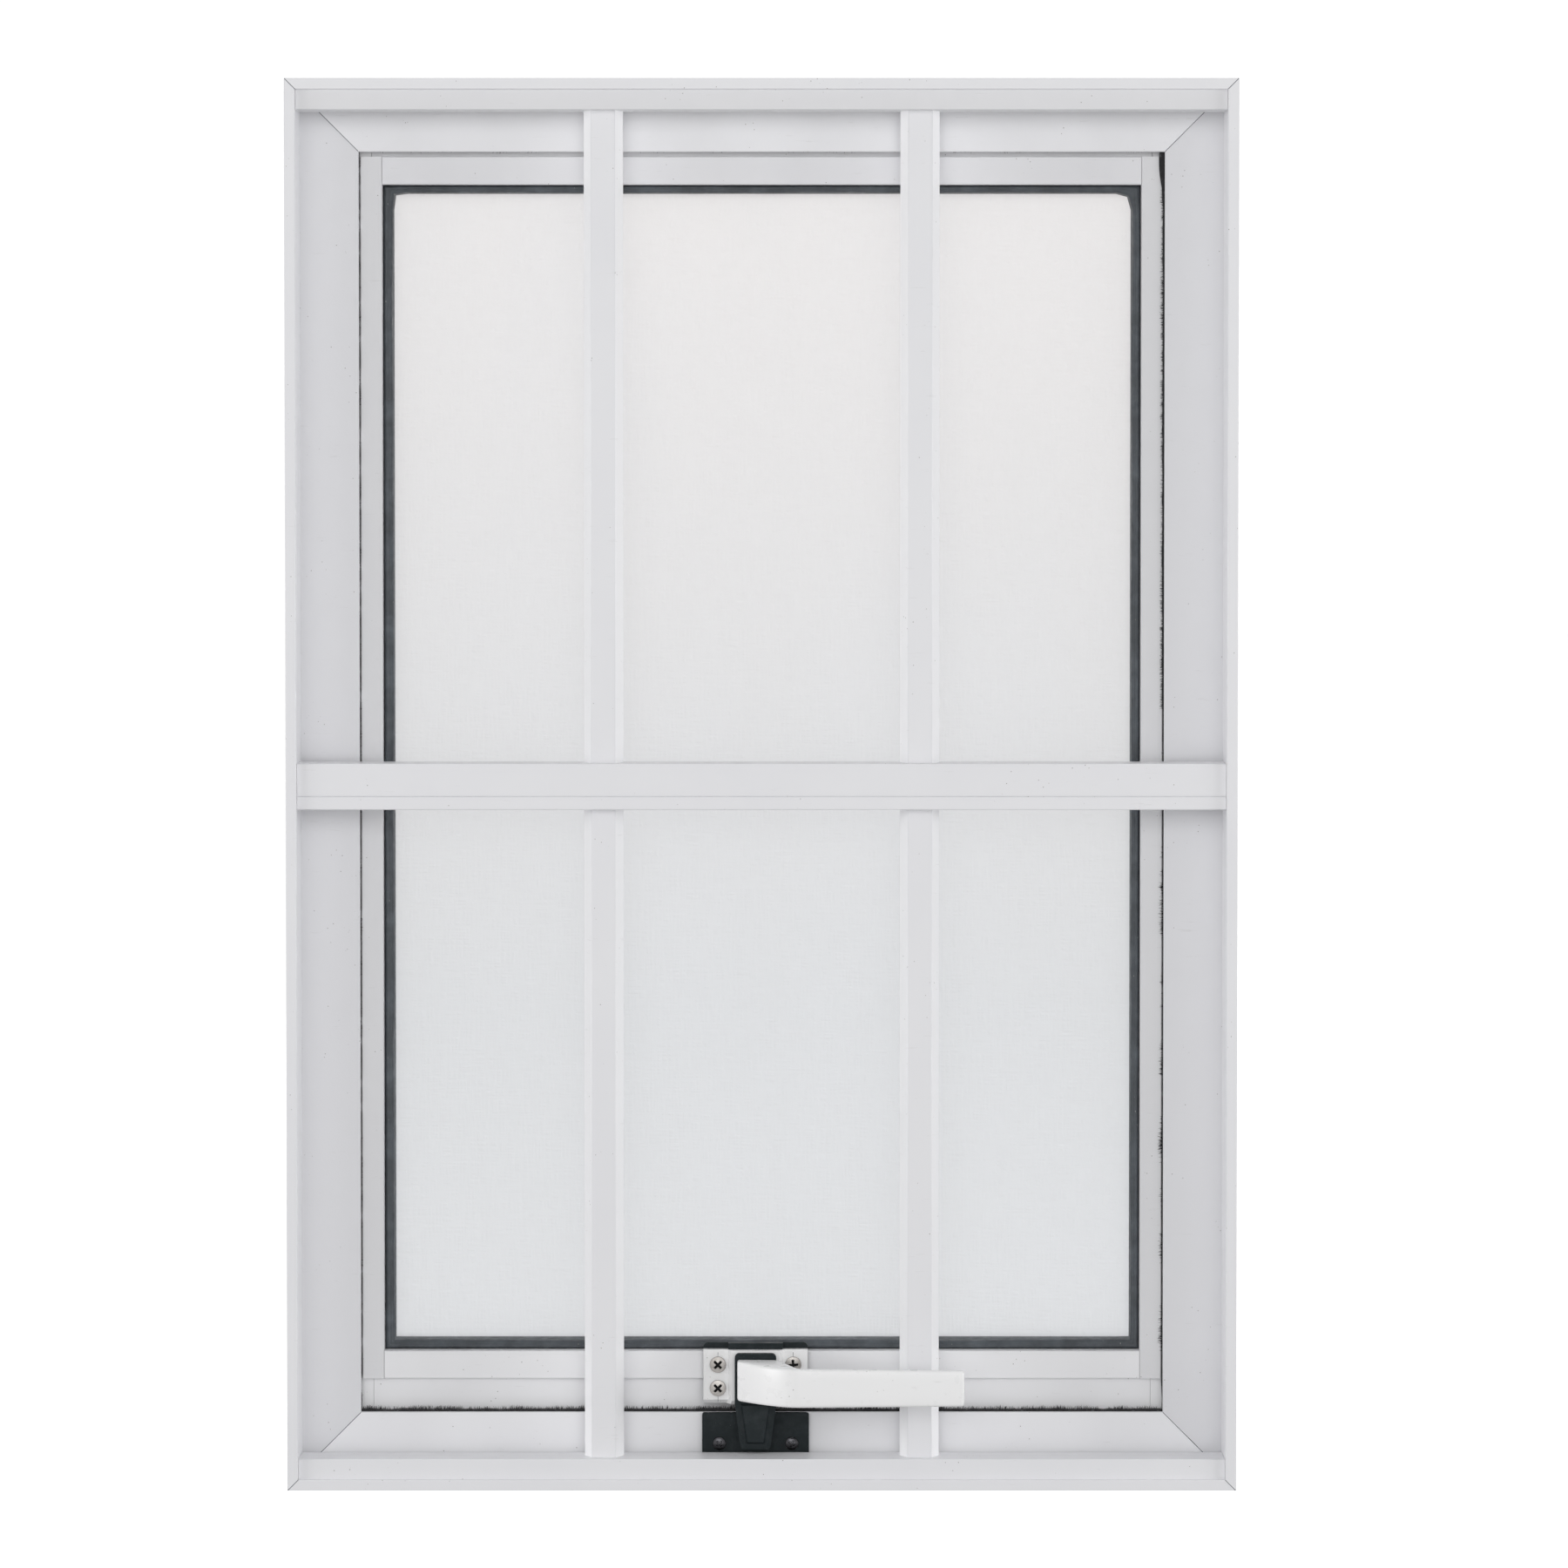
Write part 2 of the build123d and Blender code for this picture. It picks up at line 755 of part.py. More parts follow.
with BuildPart() as backplate:
    block(
        (handle_offset - base_width / 2, handle_offset + base_width / 2),
        (base_back, bead_front),
        (base_bottom, base_top + backplate_rise),
    )
    fillet(edges().filter_by(Axis.Y).group_by(Axis.Z)[-1], collar_round)
    block(
        (handle_offset - boss_width / 2 - boss_slope, handle_offset + boss_width / 2 + boss_slope),
        (base_front, base_back),
        (base_top, base_top + backplate_rise),
    )
    # a foot fills the step between the bead and the sash's face
    block(
        (handle_offset - base_width / 2, handle_offset + base_width / 2),
        (bead_front, sash_front),
        (base_bottom, bead_bottom - bead_fit),
    )
    bores(handle_screw_places, port_radius + running_fit, sash_front - base_front)
save(backplate, "handle_backplate")

handle_screws = screws(handle_screw_places, screw_head, screw_head_height, handle_screw_length)
save(handle_screws, "handle_screws")

with BuildPart() as catch:
    with BuildSketch(facing_room(handle_offset, catch_back, pivot_height)):
        Polygon(
            (-collar_width / 2, collar_rise),
            (-collar_width / 2, -collar_rise),
            (-catch_tip_width / 2, -catch_reach),
            (catch_tip_width / 2, -catch_reach),
            (collar_width / 2, -collar_rise),
            (collar_width / 2, collar_rise),
            align=None,
        )
        fillet(vertices().group_by(Axis.Y)[0], collar_round)
        fillet(vertices().group_by(Axis.Y)[-1], collar_round)
    extrude(amount=catch_thickness)
    with BuildSketch(facing_room(handle_offset, catch_front, pivot_height)):
        Polygon(
            (-collar_width / 2 + 2 * catch_rib, -collar_rise),
            (-catch_tip_width / 2 + 2 * catch_rib, 2 * catch_rib - catch_reach),
            (catch_tip_width / 2 - 2 * catch_rib, 2 * catch_rib - catch_reach),
            (collar_width / 2 - 2 * catch_rib, -collar_rise),
            align=None,
        )
    extrude(amount=catch_rib, taper=catch_rib_slope)
    bores([facing_room(handle_offset, catch_front, pivot_height)], spindle_radius, catch_thickness)
save(catch, "catch_tongue")

lever_back = catch_front
root_front = lever_back - lever_root_depth
tip_front = lever_back - lever_reach
tip_back = tip_front + lever_thickness
lever_top = pivot_height + lever_root_height / 2
with BuildPart() as lever:
    with BuildSketch(facing_up(1, handle_offset, 0, lever_top - lever_root_height)):
        with BuildLine():
            Line((-lever_root, lever_back), (-lever_root, root_front))
            Spline((-lever_root, root_front), (lever_bend, tip_front), tangents=(lever_sweep, (1, 0)))
            Line((lever_bend, tip_front), (lever_length, tip_front))
            Line((lever_length, tip_front), (lever_length, tip_back))
            Line((lever_length, tip_back), (lever_bend, tip_back))
            Spline((lever_bend, tip_back), (lever_root, lever_back), tangents=((-1, 0), (-1, 0)))
            Line((lever_root, lever_back), (-lever_root, lever_back))
        make_face()
    extrude(amount=lever_root_height)
    # the lever narrows a little towards its tip
    with BuildSketch(facing_room(handle_offset, lever_back, pivot_height)):
        Polygon(
            (-lever_root, -lever_root_height / 2),
            (lever_length, -lever_tip_height / 2),
            (lever_length, lever_tip_height / 2),
            (-lever_root, lever_root_height / 2),
            align=None,
        )
    extrude(amount=lever_reach, mode=Mode.INTERSECT)
    fillet(edges().filter_by(Axis.Z).group_by(Axis.X)[-1], lever_round)
    bores(
        [facing_room(handle_offset, lever_back - lever_root_depth / 2, pivot_height)],
        spindle_radius,
        lever_root_depth / 2,
    )
save(lever, "lever_handle")

with BuildPart() as spindle:
    rod(
        facing_room(handle_offset, base_back, pivot_height),
        spindle_radius,
        base_back - lever_back + lever_root_depth / 2,
    )
save(spindle, "lever_spindle")

with BuildPart() as washer:
    rod(facing_room(handle_offset, base_back, pivot_height), washer_radius, washer_thickness)
    rod(
        facing_room(handle_offset, base_back, pivot_height),
        spindle_radius,
        washer_thickness,
        mode=Mode.SUBTRACT,
    )
save(washer, "lever_washer")

with BuildPart() as strike:
    block(
        (handle_offset - strike_width / 2, handle_offset + strike_width / 2),
        (strike_front, rim_depth),
        (opening_bottom - strike_height, opening_bottom),
    )
    fillet(edges().filter_by(Axis.Y), collar_round / 2)
    # the keeper stands behind the tongue, so that turning the lever pulls the sash in
    block(
        (handle_offset - strike_keeper_width / 2, handle_offset + strike_keeper_width / 2),
        (catch_back + catch_gap, strike_front),
        (pivot_height - catch_reach + collar_round, opening_bottom),
    )
    bores(strike_screw_places, port_radius, strike_thickness)
save(strike, "strike_plate")

strike_screw_length = strike_thickness + flange_wall + thread_tail
strike_screws = screws(strike_screw_places, strike_screw_head, screw_head_height, strike_screw_length)
save(strike_screws, "strike_screws")

# ---------------------------------------------------------------- friction stays
# The anchor and the joint are one link apart, and the joint and the shoe's
# pivot another, so that the shoe runs straight along its track.


def stay_arm(side, joint_fit):
    inner_face = facing_side(side, side * (arm_x - arm_thickness), stay_y, (anchor_z + joint_z) / 2)
    with BuildSketch(inner_face) as outline:
        SlotCenterToCenter(stay_link, arm_width, rotation=90)
    extrude(outline.sketch, amount=arm_thickness)
    bores([facing_side(side, side * arm_x, stay_y, anchor_z)], rivet_radius + running_fit, arm_thickness)
    bores([facing_side(side, side * arm_x, stay_y, joint_z)], rivet_radius + joint_fit, arm_thickness)


for name, side in side_signs.items():
    track_bottom = anchor_z - track_tail
    track_length = pivot_z + track_head - track_bottom
    with BuildPart() as track:
        with BuildSketch(facing_up(1, side * wall_x, stay_y, track_bottom)):
            with Locations((-side * track_height / 2, 0)):
                Rectangle(track_height, track_width)
                Rectangle(track_height - 2 * track_wall, track_width - 2 * track_wall, mode=Mode.SUBTRACT)
            with Locations((-side * (track_height - track_wall / 2), 0)):
                Rectangle(track_wall * 2, track_width - 2 * (track_wall + track_lip), mode=Mode.SUBTRACT)
        extrude(amount=track_length)
        bores(track_screw_places, port_radius, track_wall)
        bores([facing_side(-side, side * (wall_x - track_wall), stay_y, anchor_z)], rivet_radius, track_wall)
    save(track, f"stay_track_{name}")

    with BuildPart() as anchor:
        rod(
            facing_side(-side, side * wall_x, stay_y, anchor_z),
            rivet_radius,
            wall_x - arm_x + arm_thickness + running_fit,
        )
        rod(
            facing_side(-side, side * (wall_x - track_wall), stay_y, anchor_z),
            bush_radius,
            wall_x - track_wall - arm_x - running_fit,
        )
        rod(
            facing_side(-side, side * (arm_x - arm_thickness - running_fit), stay_y, anchor_z),
            bush_radius,
            rivet_head,
        )
    save(anchor, f"stay_anchor_rivet_{name}")

    with BuildPart() as arm:
        stay_arm(side, running_fit if name == "left" else open_pivot_fit)
    save(arm, f"stay_arm_{name}")

    with BuildPart() as vent_bar:
        vent_bar_bottom = joint_z - vent_bar_tail
        with BuildSketch(facing_side(side, side * sash_x, stay_y, (sash_top + vent_bar_bottom) / 2)):
            RectangleRounded(vent_bar_width, sash_top - vent_bar_bottom, rivet_radius)
        extrude(amount=vent_bar_thickness)
        bores(vent_screw_places, port_radius, vent_bar_thickness)
        for z in (joint_z, pivot_z):
            bores([facing_side(side, side * vent_bar_x, stay_y, z)], rivet_radius, vent_bar_thickness)
    save(vent_bar, f"stay_vent_bar_{name}")

    with BuildPart() as joint_rivet:
        rod(
            facing_side(side, side * sash_x, stay_y, joint_z),
            rivet_radius,
            arm_x - sash_x + running_fit,
        )
        rod(
            facing_side(side, side * vent_bar_x, stay_y, joint_z),
            bush_radius,
            arm_x - arm_thickness - vent_bar_x - running_fit,
        )
        rod(facing_side(side, side * (arm_x + running_fit), stay_y, joint_z), bush_radius, rivet_head)
    save(joint_rivet, f"stay_joint_rivet_{name}")

    shoe_inner = track_x + track_wall + shoe_fit
    shoe_outer = wall_x - track_wall - shoe_fit
    with BuildPart() as shoe_pin:
        rod(facing_side(side, side * sash_x, stay_y, pivot_z), rivet_radius, shoe_outer - sash_x)
        rod(
            facing_side(side, side * vent_bar_x, stay_y, pivot_z),
            bush_radius,
            shoe_inner - running_fit - vent_bar_x,
        )
    save(shoe_pin, f"stay_shoe_pin_{name}")

    with BuildPart() as shoe:
        shoe_width = track_width - 2 * (track_wall + shoe_fit)
        with BuildSketch(facing_side(side, side * shoe_inner, stay_y, pivot_z)):
            RectangleRounded(shoe_width, shoe_length, rivet_radius)
            Circle(rivet_radius + running_fit, mode=Mode.SUBTRACT)
        extrude(amount=shoe_outer - shoe_inner)
    save(shoe, f"stay_shoe_{name}")

vent_bar_screws = screws(
    vent_screw_places,
    stay_screw_head,
    stay_screw_head_height,
    vent_bar_thickness + sash_wall + thread_tail,
)
save(vent_bar_screws, "stay_vent_bar_screws")
track_screws = screws(
    track_screw_places,
    stay_screw_head,
    stay_screw_head_height,
    track_wall + rim_wall,
)
save(track_screws, "stay_track_screws")
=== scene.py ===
import json
import math
import random

import bpy
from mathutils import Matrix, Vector, noise


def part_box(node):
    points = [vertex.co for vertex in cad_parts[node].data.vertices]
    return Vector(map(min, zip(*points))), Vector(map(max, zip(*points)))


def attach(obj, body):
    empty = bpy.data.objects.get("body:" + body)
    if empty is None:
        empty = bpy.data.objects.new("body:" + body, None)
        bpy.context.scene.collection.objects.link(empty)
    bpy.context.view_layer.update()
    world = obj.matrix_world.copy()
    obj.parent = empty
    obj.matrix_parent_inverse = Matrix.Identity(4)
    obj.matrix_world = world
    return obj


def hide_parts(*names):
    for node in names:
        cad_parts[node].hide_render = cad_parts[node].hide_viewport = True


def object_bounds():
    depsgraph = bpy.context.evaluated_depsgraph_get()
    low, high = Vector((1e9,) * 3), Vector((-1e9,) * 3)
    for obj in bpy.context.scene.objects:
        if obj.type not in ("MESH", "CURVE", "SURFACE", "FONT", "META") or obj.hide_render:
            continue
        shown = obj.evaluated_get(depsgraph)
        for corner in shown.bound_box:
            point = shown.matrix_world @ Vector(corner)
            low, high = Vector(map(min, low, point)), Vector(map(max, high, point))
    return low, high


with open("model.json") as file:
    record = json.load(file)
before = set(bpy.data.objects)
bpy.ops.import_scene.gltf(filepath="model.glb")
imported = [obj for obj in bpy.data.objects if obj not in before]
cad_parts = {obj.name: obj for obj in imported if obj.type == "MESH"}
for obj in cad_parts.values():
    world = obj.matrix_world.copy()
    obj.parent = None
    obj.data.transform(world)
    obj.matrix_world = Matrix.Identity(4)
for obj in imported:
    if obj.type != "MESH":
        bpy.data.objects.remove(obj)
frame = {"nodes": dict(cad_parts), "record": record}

cad_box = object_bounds()
nodes = frame["nodes"]
MM = 0.001


# ---------------------------------------------------------------- materials
class Look:
    """A Principled material, with short calls for the nodes that feed it."""

    def __init__(self, name, color, **sockets):
        self.material = bpy.data.materials.new(name)
        self.material.use_nodes = True
        self.tree = self.material.node_tree
        self.shader = self.tree.nodes["Principled BSDF"]
        self.color = color
        for socket, value in sockets.items():
            self.shader.inputs[socket.replace("_", " ")].default_value = value
        coordinates = self.tree.nodes.new("ShaderNodeTexCoord")
        self.place = coordinates.outputs["Object"]
        self.facing = coordinates.outputs["Normal"]

    def link(self, source, target):
        self.tree.links.new(source, target)

    def stretched(self, scale):
        node = self.tree.nodes.new("ShaderNodeMapping")
        node.inputs["Scale"].default_value = scale
        self.link(self.place, node.inputs["Vector"])
        return node.outputs["Vector"]

    def axis(self, letter, vector):
        node = self.tree.nodes.new("ShaderNodeSeparateXYZ")
        self.link(vector, node.inputs["Vector"])
        return node.outputs[letter]

    def noise(self, scale, detail=2.0, rough=0.5, stretch=(1, 1, 1)):
        node = self.tree.nodes.new("ShaderNodeTexNoise")
        node.inputs["Scale"].default_value = scale
        node.inputs["Detail"].default_value = detail
        node.inputs["Roughness"].default_value = rough
        self.link(self.stretched(stretch), node.inputs["Vector"])
        return node.outputs["Fac"]

    def cells(self, scale, stretch=(1, 1, 1)):
        node = self.tree.nodes.new("ShaderNodeTexVoronoi")
        node.inputs["Scale"].default_value = scale
        self.link(self.stretched(stretch), node.inputs["Vector"])
        return node.outputs["Distance"]

    def span(self, source, low, high, to_low, to_high):
        node = self.tree.nodes.new("ShaderNodeMapRange")
        for socket, value in (("From Min", low), ("From Max", high), ("To Min", to_low), ("To Max", to_high)):
            node.inputs[socket].default_value = value
        self.link(source, node.inputs["Value"])
        return node.outputs["Result"]

    def times(self, one, other):
        node = self.tree.nodes.new("ShaderNodeMath")
        node.operation = "MULTIPLY"
        self.link(one, node.inputs[0])
        self.link(other, node.inputs[1])
        return node.outputs["Value"]

    def tint(self, factor, other, under=None):
        """Mixes another colour over the base, or over the colour already made."""
        node = self.tree.nodes.new("ShaderNodeMix")
        node.data_type = "RGBA"
        self.link(factor, node.inputs["Factor"])
        if under is None:
            node.inputs["A"].default_value = (*self.color, 1)
        else:
            self.link(under, node.inputs["A"])
        node.inputs["B"].default_value = (*other, 1)
        return node.outputs["Result"]

    def bump(self, height, strength, distance, before=None):
        node = self.tree.nodes.new("ShaderNodeBump")
        node.inputs["Strength"].default_value = strength
        node.inputs["Distance"].default_value = distance
        self.link(height, node.inputs["Height"])
        if before is not None:
            self.link(before, node.inputs["Normal"])
        return node.outputs["Normal"]

    def finish(self, color, roughness, normal):
        self.link(color, self.shader.inputs["Base Color"])
        self.link(roughness, self.shader.inputs["Roughness"])
        self.link(normal, self.shader.inputs["Normal"])
        return self.material


SCUFF_GREY = (0.50, 0.49, 0.48)
SPECK_BROWN = (0.22, 0.20, 0.18)
# Depths over which the painted recess light or shade comes in, from the rim's room edge back to the flange.
RECESS_FROM, RECESS_TO = -0.030, -0.012


def powder_coat(name, color, rough, shade, recess=None, side_highlight=None):
    """Sprayed powder: a fine orange peel, faint clouding, grey scuffs and a few dark specks.

    The recess colour is painted light or shade, coming in by depth between the rim's room edge
    and the flange's face. The side-highlight colour is a painted highlight on sideways faces; neither is
    another paint.
    """
    look = Look(name, color, Specular_IOR_Level=0.45)
    cloud_and_painted_light = look.tint(look.span(look.noise(22, 3), 0.35, 0.75, 0.0, 0.5), shade)
    # Painted light or shade by depth: a lighter or darker tone towards the flange's face.
    if recess:
        depth = look.axis("Y", look.place)
        cloud_and_painted_light = look.tint(look.span(depth, RECESS_FROM, RECESS_TO, 0.0, 1.0), recess, cloud_and_painted_light)
    # Painted highlight: faces that look sideways come out lighter.
    if side_highlight:
        sideways = look.axis("X", look.facing)
        turned = look.span(look.times(sideways, sideways), 0.15, 0.7, 0.0, 1.0)
        cloud_and_painted_light = look.tint(turned, side_highlight, cloud_and_painted_light)
    scuff = look.span(look.noise(60, 6, 0.7, (1, 1, 9)), 0.64, 0.76, 0.0, 0.30)
    scuffed = look.tint(scuff, SCUFF_GREY, cloud_and_painted_light)
    speck = look.times(
        look.span(look.cells(380), 0.05, 0.10, 0.85, 0.0),
        look.span(look.noise(75, 2), 0.56, 0.62, 0.0, 1.0),
    )
    specked = look.tint(speck, SPECK_BROWN, scuffed)
    roughness = look.span(look.noise(180, 4), 0.3, 0.7, rough - 0.05, rough + 0.07)
    peel = look.bump(look.noise(1400, 2), 0.10, 0.0002)
    return look.finish(specked, roughness, look.bump(look.noise(160, 2), 0.06, 0.0006, peel))


def black_nylon(name, color, rough):
    """Moulded nylon: a fine spark-eroded grain, pale dust and rubbed, slightly greyer patches."""
    look = Look(name, color, Specular_IOR_Level=0.14)
    worn = look.span(look.noise(140, 5, 0.65), 0.48, 0.72, 0.0, 0.65)
    rubbed = look.tint(worn, (0.030, 0.037, 0.040))
    dust = look.times(
        look.span(look.cells(700), 0.04, 0.10, 0.25, 0.0),
        look.span(look.noise(110), 0.5, 0.6, 0.0, 1.0),
    )
    dusty = look.tint(dust, (0.45, 0.46, 0.46), rubbed)
    roughness = look.span(look.noise(260, 4), 0.3, 0.7, rough - 0.08, rough + 0.10)
    grain = look.bump(look.noise(2600, 3), 0.35, 0.0001)
    return look.finish(dusty, roughness, look.bump(look.noise(240, 2), 0.15, 0.0003, grain))


def rubber(name, color):
    """Extruded rubber: lines along the section, a pale bloom and lint."""
    look = Look(name, color, Specular_IOR_Level=0.35)
    bloom = look.tint(look.span(look.noise(90, 5, 0.6), 0.42, 0.75, 0.0, 0.7), (0.13, 0.15, 0.17))
    lint = look.times(
        look.span(look.cells(420, (1, 1, 0.5)), 0.05, 0.11, 0.7, 0.0),
        look.span(look.noise(130), 0.55, 0.62, 0.0, 1.0),
    )
    roughness = look.span(look.noise(320, 4), 0.3, 0.7, 0.42, 0.62)
    skin = look.bump(look.noise(1800, 3), 0.25, 0.0001)
    lines = look.bump(look.noise(900, 2, 0.5, (1, 1, 0.03)), 0.2, 0.0001, skin)
    return look.finish(look.tint(lint, (0.42, 0.42, 0.42), bloom), roughness, lines)


def metal(name, color, rough, grain, stain):
    """Turned or rolled metal: tool marks stretched one way and patches of dull oxide."""
    look = Look(name, color, Metallic=1.0, Specular_IOR_Level=0.5)
    dull = look.tint(look.span(look.noise(150, 5, 0.6), 0.45, 0.75, 0.0, 0.8), stain)
    pits = look.span(look.cells(800), 0.05, 0.12, 0.5, 0.0)
    grime = look.tint(pits, tuple(0.4 * share for share in stain), dull)
    roughness = look.span(look.noise(420, 4, 0.5, grain), 0.3, 0.7, rough - 0.08, rough + 0.14)
    marks = look.bump(look.noise(1500, 3, 0.5, grain), 0.18, 0.0001)
    return look.finish(grime, roughness, marks)


def nylon(name, color):
    """Natural moulded nylon, waxy and a little yellowed."""
    look = Look(name, color, Specular_IOR_Level=0.5, Subsurface_Weight=0.1, Subsurface_Scale=0.002)
    aged = look.tint(look.span(look.noise(120, 4), 0.4, 0.7, 0.0, 0.6), (0.74, 0.71, 0.62))
    roughness = look.span(look.noise(300, 3), 0.3, 0.7, 0.34, 0.5)
    return look.finish(aged, roughness, look.bump(look.noise(1300, 2), 0.15, 0.0001))


def pile(name, color):
    """Woven pile: short ribs across the strip with lint caught in them."""
    look = Look(name, color, Sheen_Weight=0.3, Specular_IOR_Level=0.2)
    lint = look.tint(look.span(look.noise(500, 4, 0.7), 0.58, 0.72, 0.0, 0.6), (0.22, 0.22, 0.23))
    roughness = look.span(look.noise(600), 0.3, 0.7, 0.8, 0.95)
    return look.finish(lint, roughness, look.bump(look.noise(1600, 4, 0.7), 0.8, 0.0004))


def obscure_glass(name, color):
    """Cast obscure glass: a close, woven-looking relief over a faint wave, with a painted reflection making
    it lighter and warmer towards the top.
    """
    look = Look(name, color, Transmission_Weight=0.92, IOR=1.45, Specular_IOR_Level=0.5)
    # Painted reflection: lighter and warmer towards the top.
    height = look.span(look.axis("Z", look.place), 0.20, 0.54, 0.0, 1.0)
    painted_top_reflection = look.tint(height, (0.803, 0.786, 0.784))
    patches = look.span(look.noise(9, 3, 0.5, (1, 1, 0.4)), 0.4, 0.7, 0.0, 0.25)
    cloud_and_painted_light = look.tint(patches, (0.72, 0.735, 0.76), painted_top_reflection)
    weave = look.times(
        look.span(look.noise(900, 1, 0.5, (1, 1, 0.12)), 0.35, 0.65, 0.0, 1.0),
        look.span(look.noise(900, 1, 0.5, (0.12, 1, 1)), 0.35, 0.65, 0.0, 1.0),
    )
    relief = look.bump(weave, 0.35, 0.0003)
    waved = look.bump(look.noise(45, 2), 0.10, 0.002, relief)
    roughness = look.span(look.noise(300, 3), 0.3, 0.7, 0.42, 0.52)
    return look.finish(cloud_and_painted_light, roughness, waved)


# One paint, in a few tones: the lighter and darker tones are painted light and painted shade, each piece's
# tone set so that it comes out as in the photograph.
WHITE, WHITE_CLOUD = (0.83, 0.83, 0.85), (0.79, 0.79, 0.82)
COAT = powder_coat("powder_coat_white", WHITE, 0.34, WHITE_CLOUD)
# Recess tones by depth: painted light on the head and sill flanges, painted shade on the jamb flanges.
HEAD_COAT_PAINTED_LIGHT = powder_coat("powder_coat_head_painted_light", WHITE, 0.34, WHITE_CLOUD, recess=(0.89, 0.89, 0.91))
SILL_COAT_PAINTED_LIGHT = powder_coat("powder_coat_sill_painted_light", WHITE, 0.34, WHITE_CLOUD, recess=(0.91, 0.91, 0.93))
JAMB_COAT_PAINTED_SHADE = powder_coat("powder_coat_jamb_painted_shade", WHITE, 0.34, WHITE_CLOUD, recess=(0.775, 0.775, 0.797))
# Painted highlight on the grille bars' sideways faces.
BAR_COAT_PAINTED_HIGHLIGHT = powder_coat("powder_coat_bar_painted_highlight", WHITE, 0.34, WHITE_CLOUD, side_highlight=(0.94, 0.94, 0.955))
# Painted shade: a darker white for the side beads and the top grille rail.
STILE_COAT_PAINTED_SHADE = powder_coat("powder_coat_stile_painted_shade", (0.78, 0.78, 0.795), 0.36, (0.745, 0.745, 0.765))
RAIL_COAT_PAINTED_SHADE = powder_coat("powder_coat_rail_painted_shade", (0.755, 0.755, 0.77), 0.36, (0.72, 0.72, 0.74))
# Painted light: a lighter white for the bottom bead, the sash's bottom rail and its stiles.
LOW_COAT_PAINTED_LIGHT = powder_coat("powder_coat_low_painted_light", (0.91, 0.91, 0.925), 0.34, (0.875, 0.875, 0.895))
HANDLE_COAT = powder_coat("handle_enamel", (0.935, 0.935, 0.935), 0.30, (0.905, 0.905, 0.915))
ANY_WAY = (1, 1, 1)
NYLON_BLACK = black_nylon("nylon_black", (0.012, 0.017, 0.019), 0.50)
STEEL_BLACK = metal("steel_black", (0.035, 0.035, 0.038), 0.38, ANY_WAY, (0.09, 0.085, 0.08))
RUBBER = rubber("gasket_rubber_grey", (0.062, 0.070, 0.078))
PILE = pile("pile_woven", (0.020, 0.020, 0.022))
GLASS = obscure_glass("glass_obscure", (0.680, 0.690, 0.704))
STAINLESS = metal("steel_stainless", (0.31, 0.295, 0.28), 0.32, (1, 1, 6), (0.20, 0.185, 0.17))
STRIKE_SCREW = metal("steel_black_domed", (0.055, 0.055, 0.06), 0.20, ANY_WAY, (0.03, 0.03, 0.03))
# Near-black for the screw recesses: grime, and painted shade in the recess.
GRIME_AND_PAINTED_SHADE = black_nylon("recess_grime_and_painted_shade", (0.010, 0.010, 0.010), 0.7)
ZINC = metal("steel_zinc", (0.60, 0.62, 0.64), 0.42, ANY_WAY, (0.44, 0.45, 0.46))
MILL = metal("aluminium_mill", (0.74, 0.75, 0.76), 0.32, (1, 1, 0.05), (0.55, 0.56, 0.57))
NYLON_WHITE = nylon("nylon_natural", (0.83, 0.82, 0.77))
SLOT_LOOKS = {
    "white_powder_coat": COAT,
    "handle_white": HANDLE_COAT,
    "black_plastic": NYLON_BLACK,
    "black_steel": STEEL_BLACK,
    "gasket_rubber": RUBBER,
    "pile": PILE,
    "patterned_glass": GLASS,
    "stainless_steel": STAINLESS,
    "galvanized_steel": ZINC,
    "stay_metal": MILL,
    "white_nylon": NYLON_WHITE,
}


# ---------------------------------------------------------------- the CAD nodes
# How far the edges are rounded, in mm: by slot, and for painted pieces by the start of the name.
ROUNDING = {
    "white_powder_coat": 0.22,
    "handle_white": 0.28,
    "black_plastic": 0.45,
    "black_steel": 0.12,
    "stainless_steel": 0.12,
    "galvanized_steel": 0.15,
    "stay_metal": 0.20,
    "white_nylon": 0.30,
    "patterned_glass": 0.25,
}
PAINTED = ("white_powder_coat", "handle_white")
NODE_ROUNDING = {
    "handle_base": 0,
    "frame": 0.18,
    "grille_rail": 0.18,
    "glazing_bead": 0.28,
    "grille_bar": 0.35,
    "grille_crossbar": 0.06,
}
WELD_REACH = 0.01 * MM
SHARP_ANGLE = math.radians(35)
# Names that start like this take the look beside them instead of their slot's: white with painted light,
# painted shade and painted highlights.
NODE_LOOKS = {
    "glazing_bead_left": STILE_COAT_PAINTED_SHADE,
    "glazing_bead_right": STILE_COAT_PAINTED_SHADE,
    "glazing_bead_bottom": LOW_COAT_PAINTED_LIGHT,
    "sash_rail_bottom": LOW_COAT_PAINTED_LIGHT,
    "sash_stile": LOW_COAT_PAINTED_LIGHT,
    "grille_rail_top": RAIL_COAT_PAINTED_SHADE,
    "grille_bar_lower": BAR_COAT_PAINTED_HIGHLIGHT,
    "grille_bar_upper": BAR_COAT_PAINTED_HIGHLIGHT,
    "frame_jamb": JAMB_COAT_PAINTED_SHADE,
    "frame_head": HEAD_COAT_PAINTED_LIGHT,
    "frame_sill": SILL_COAT_PAINTED_LIGHT,
}
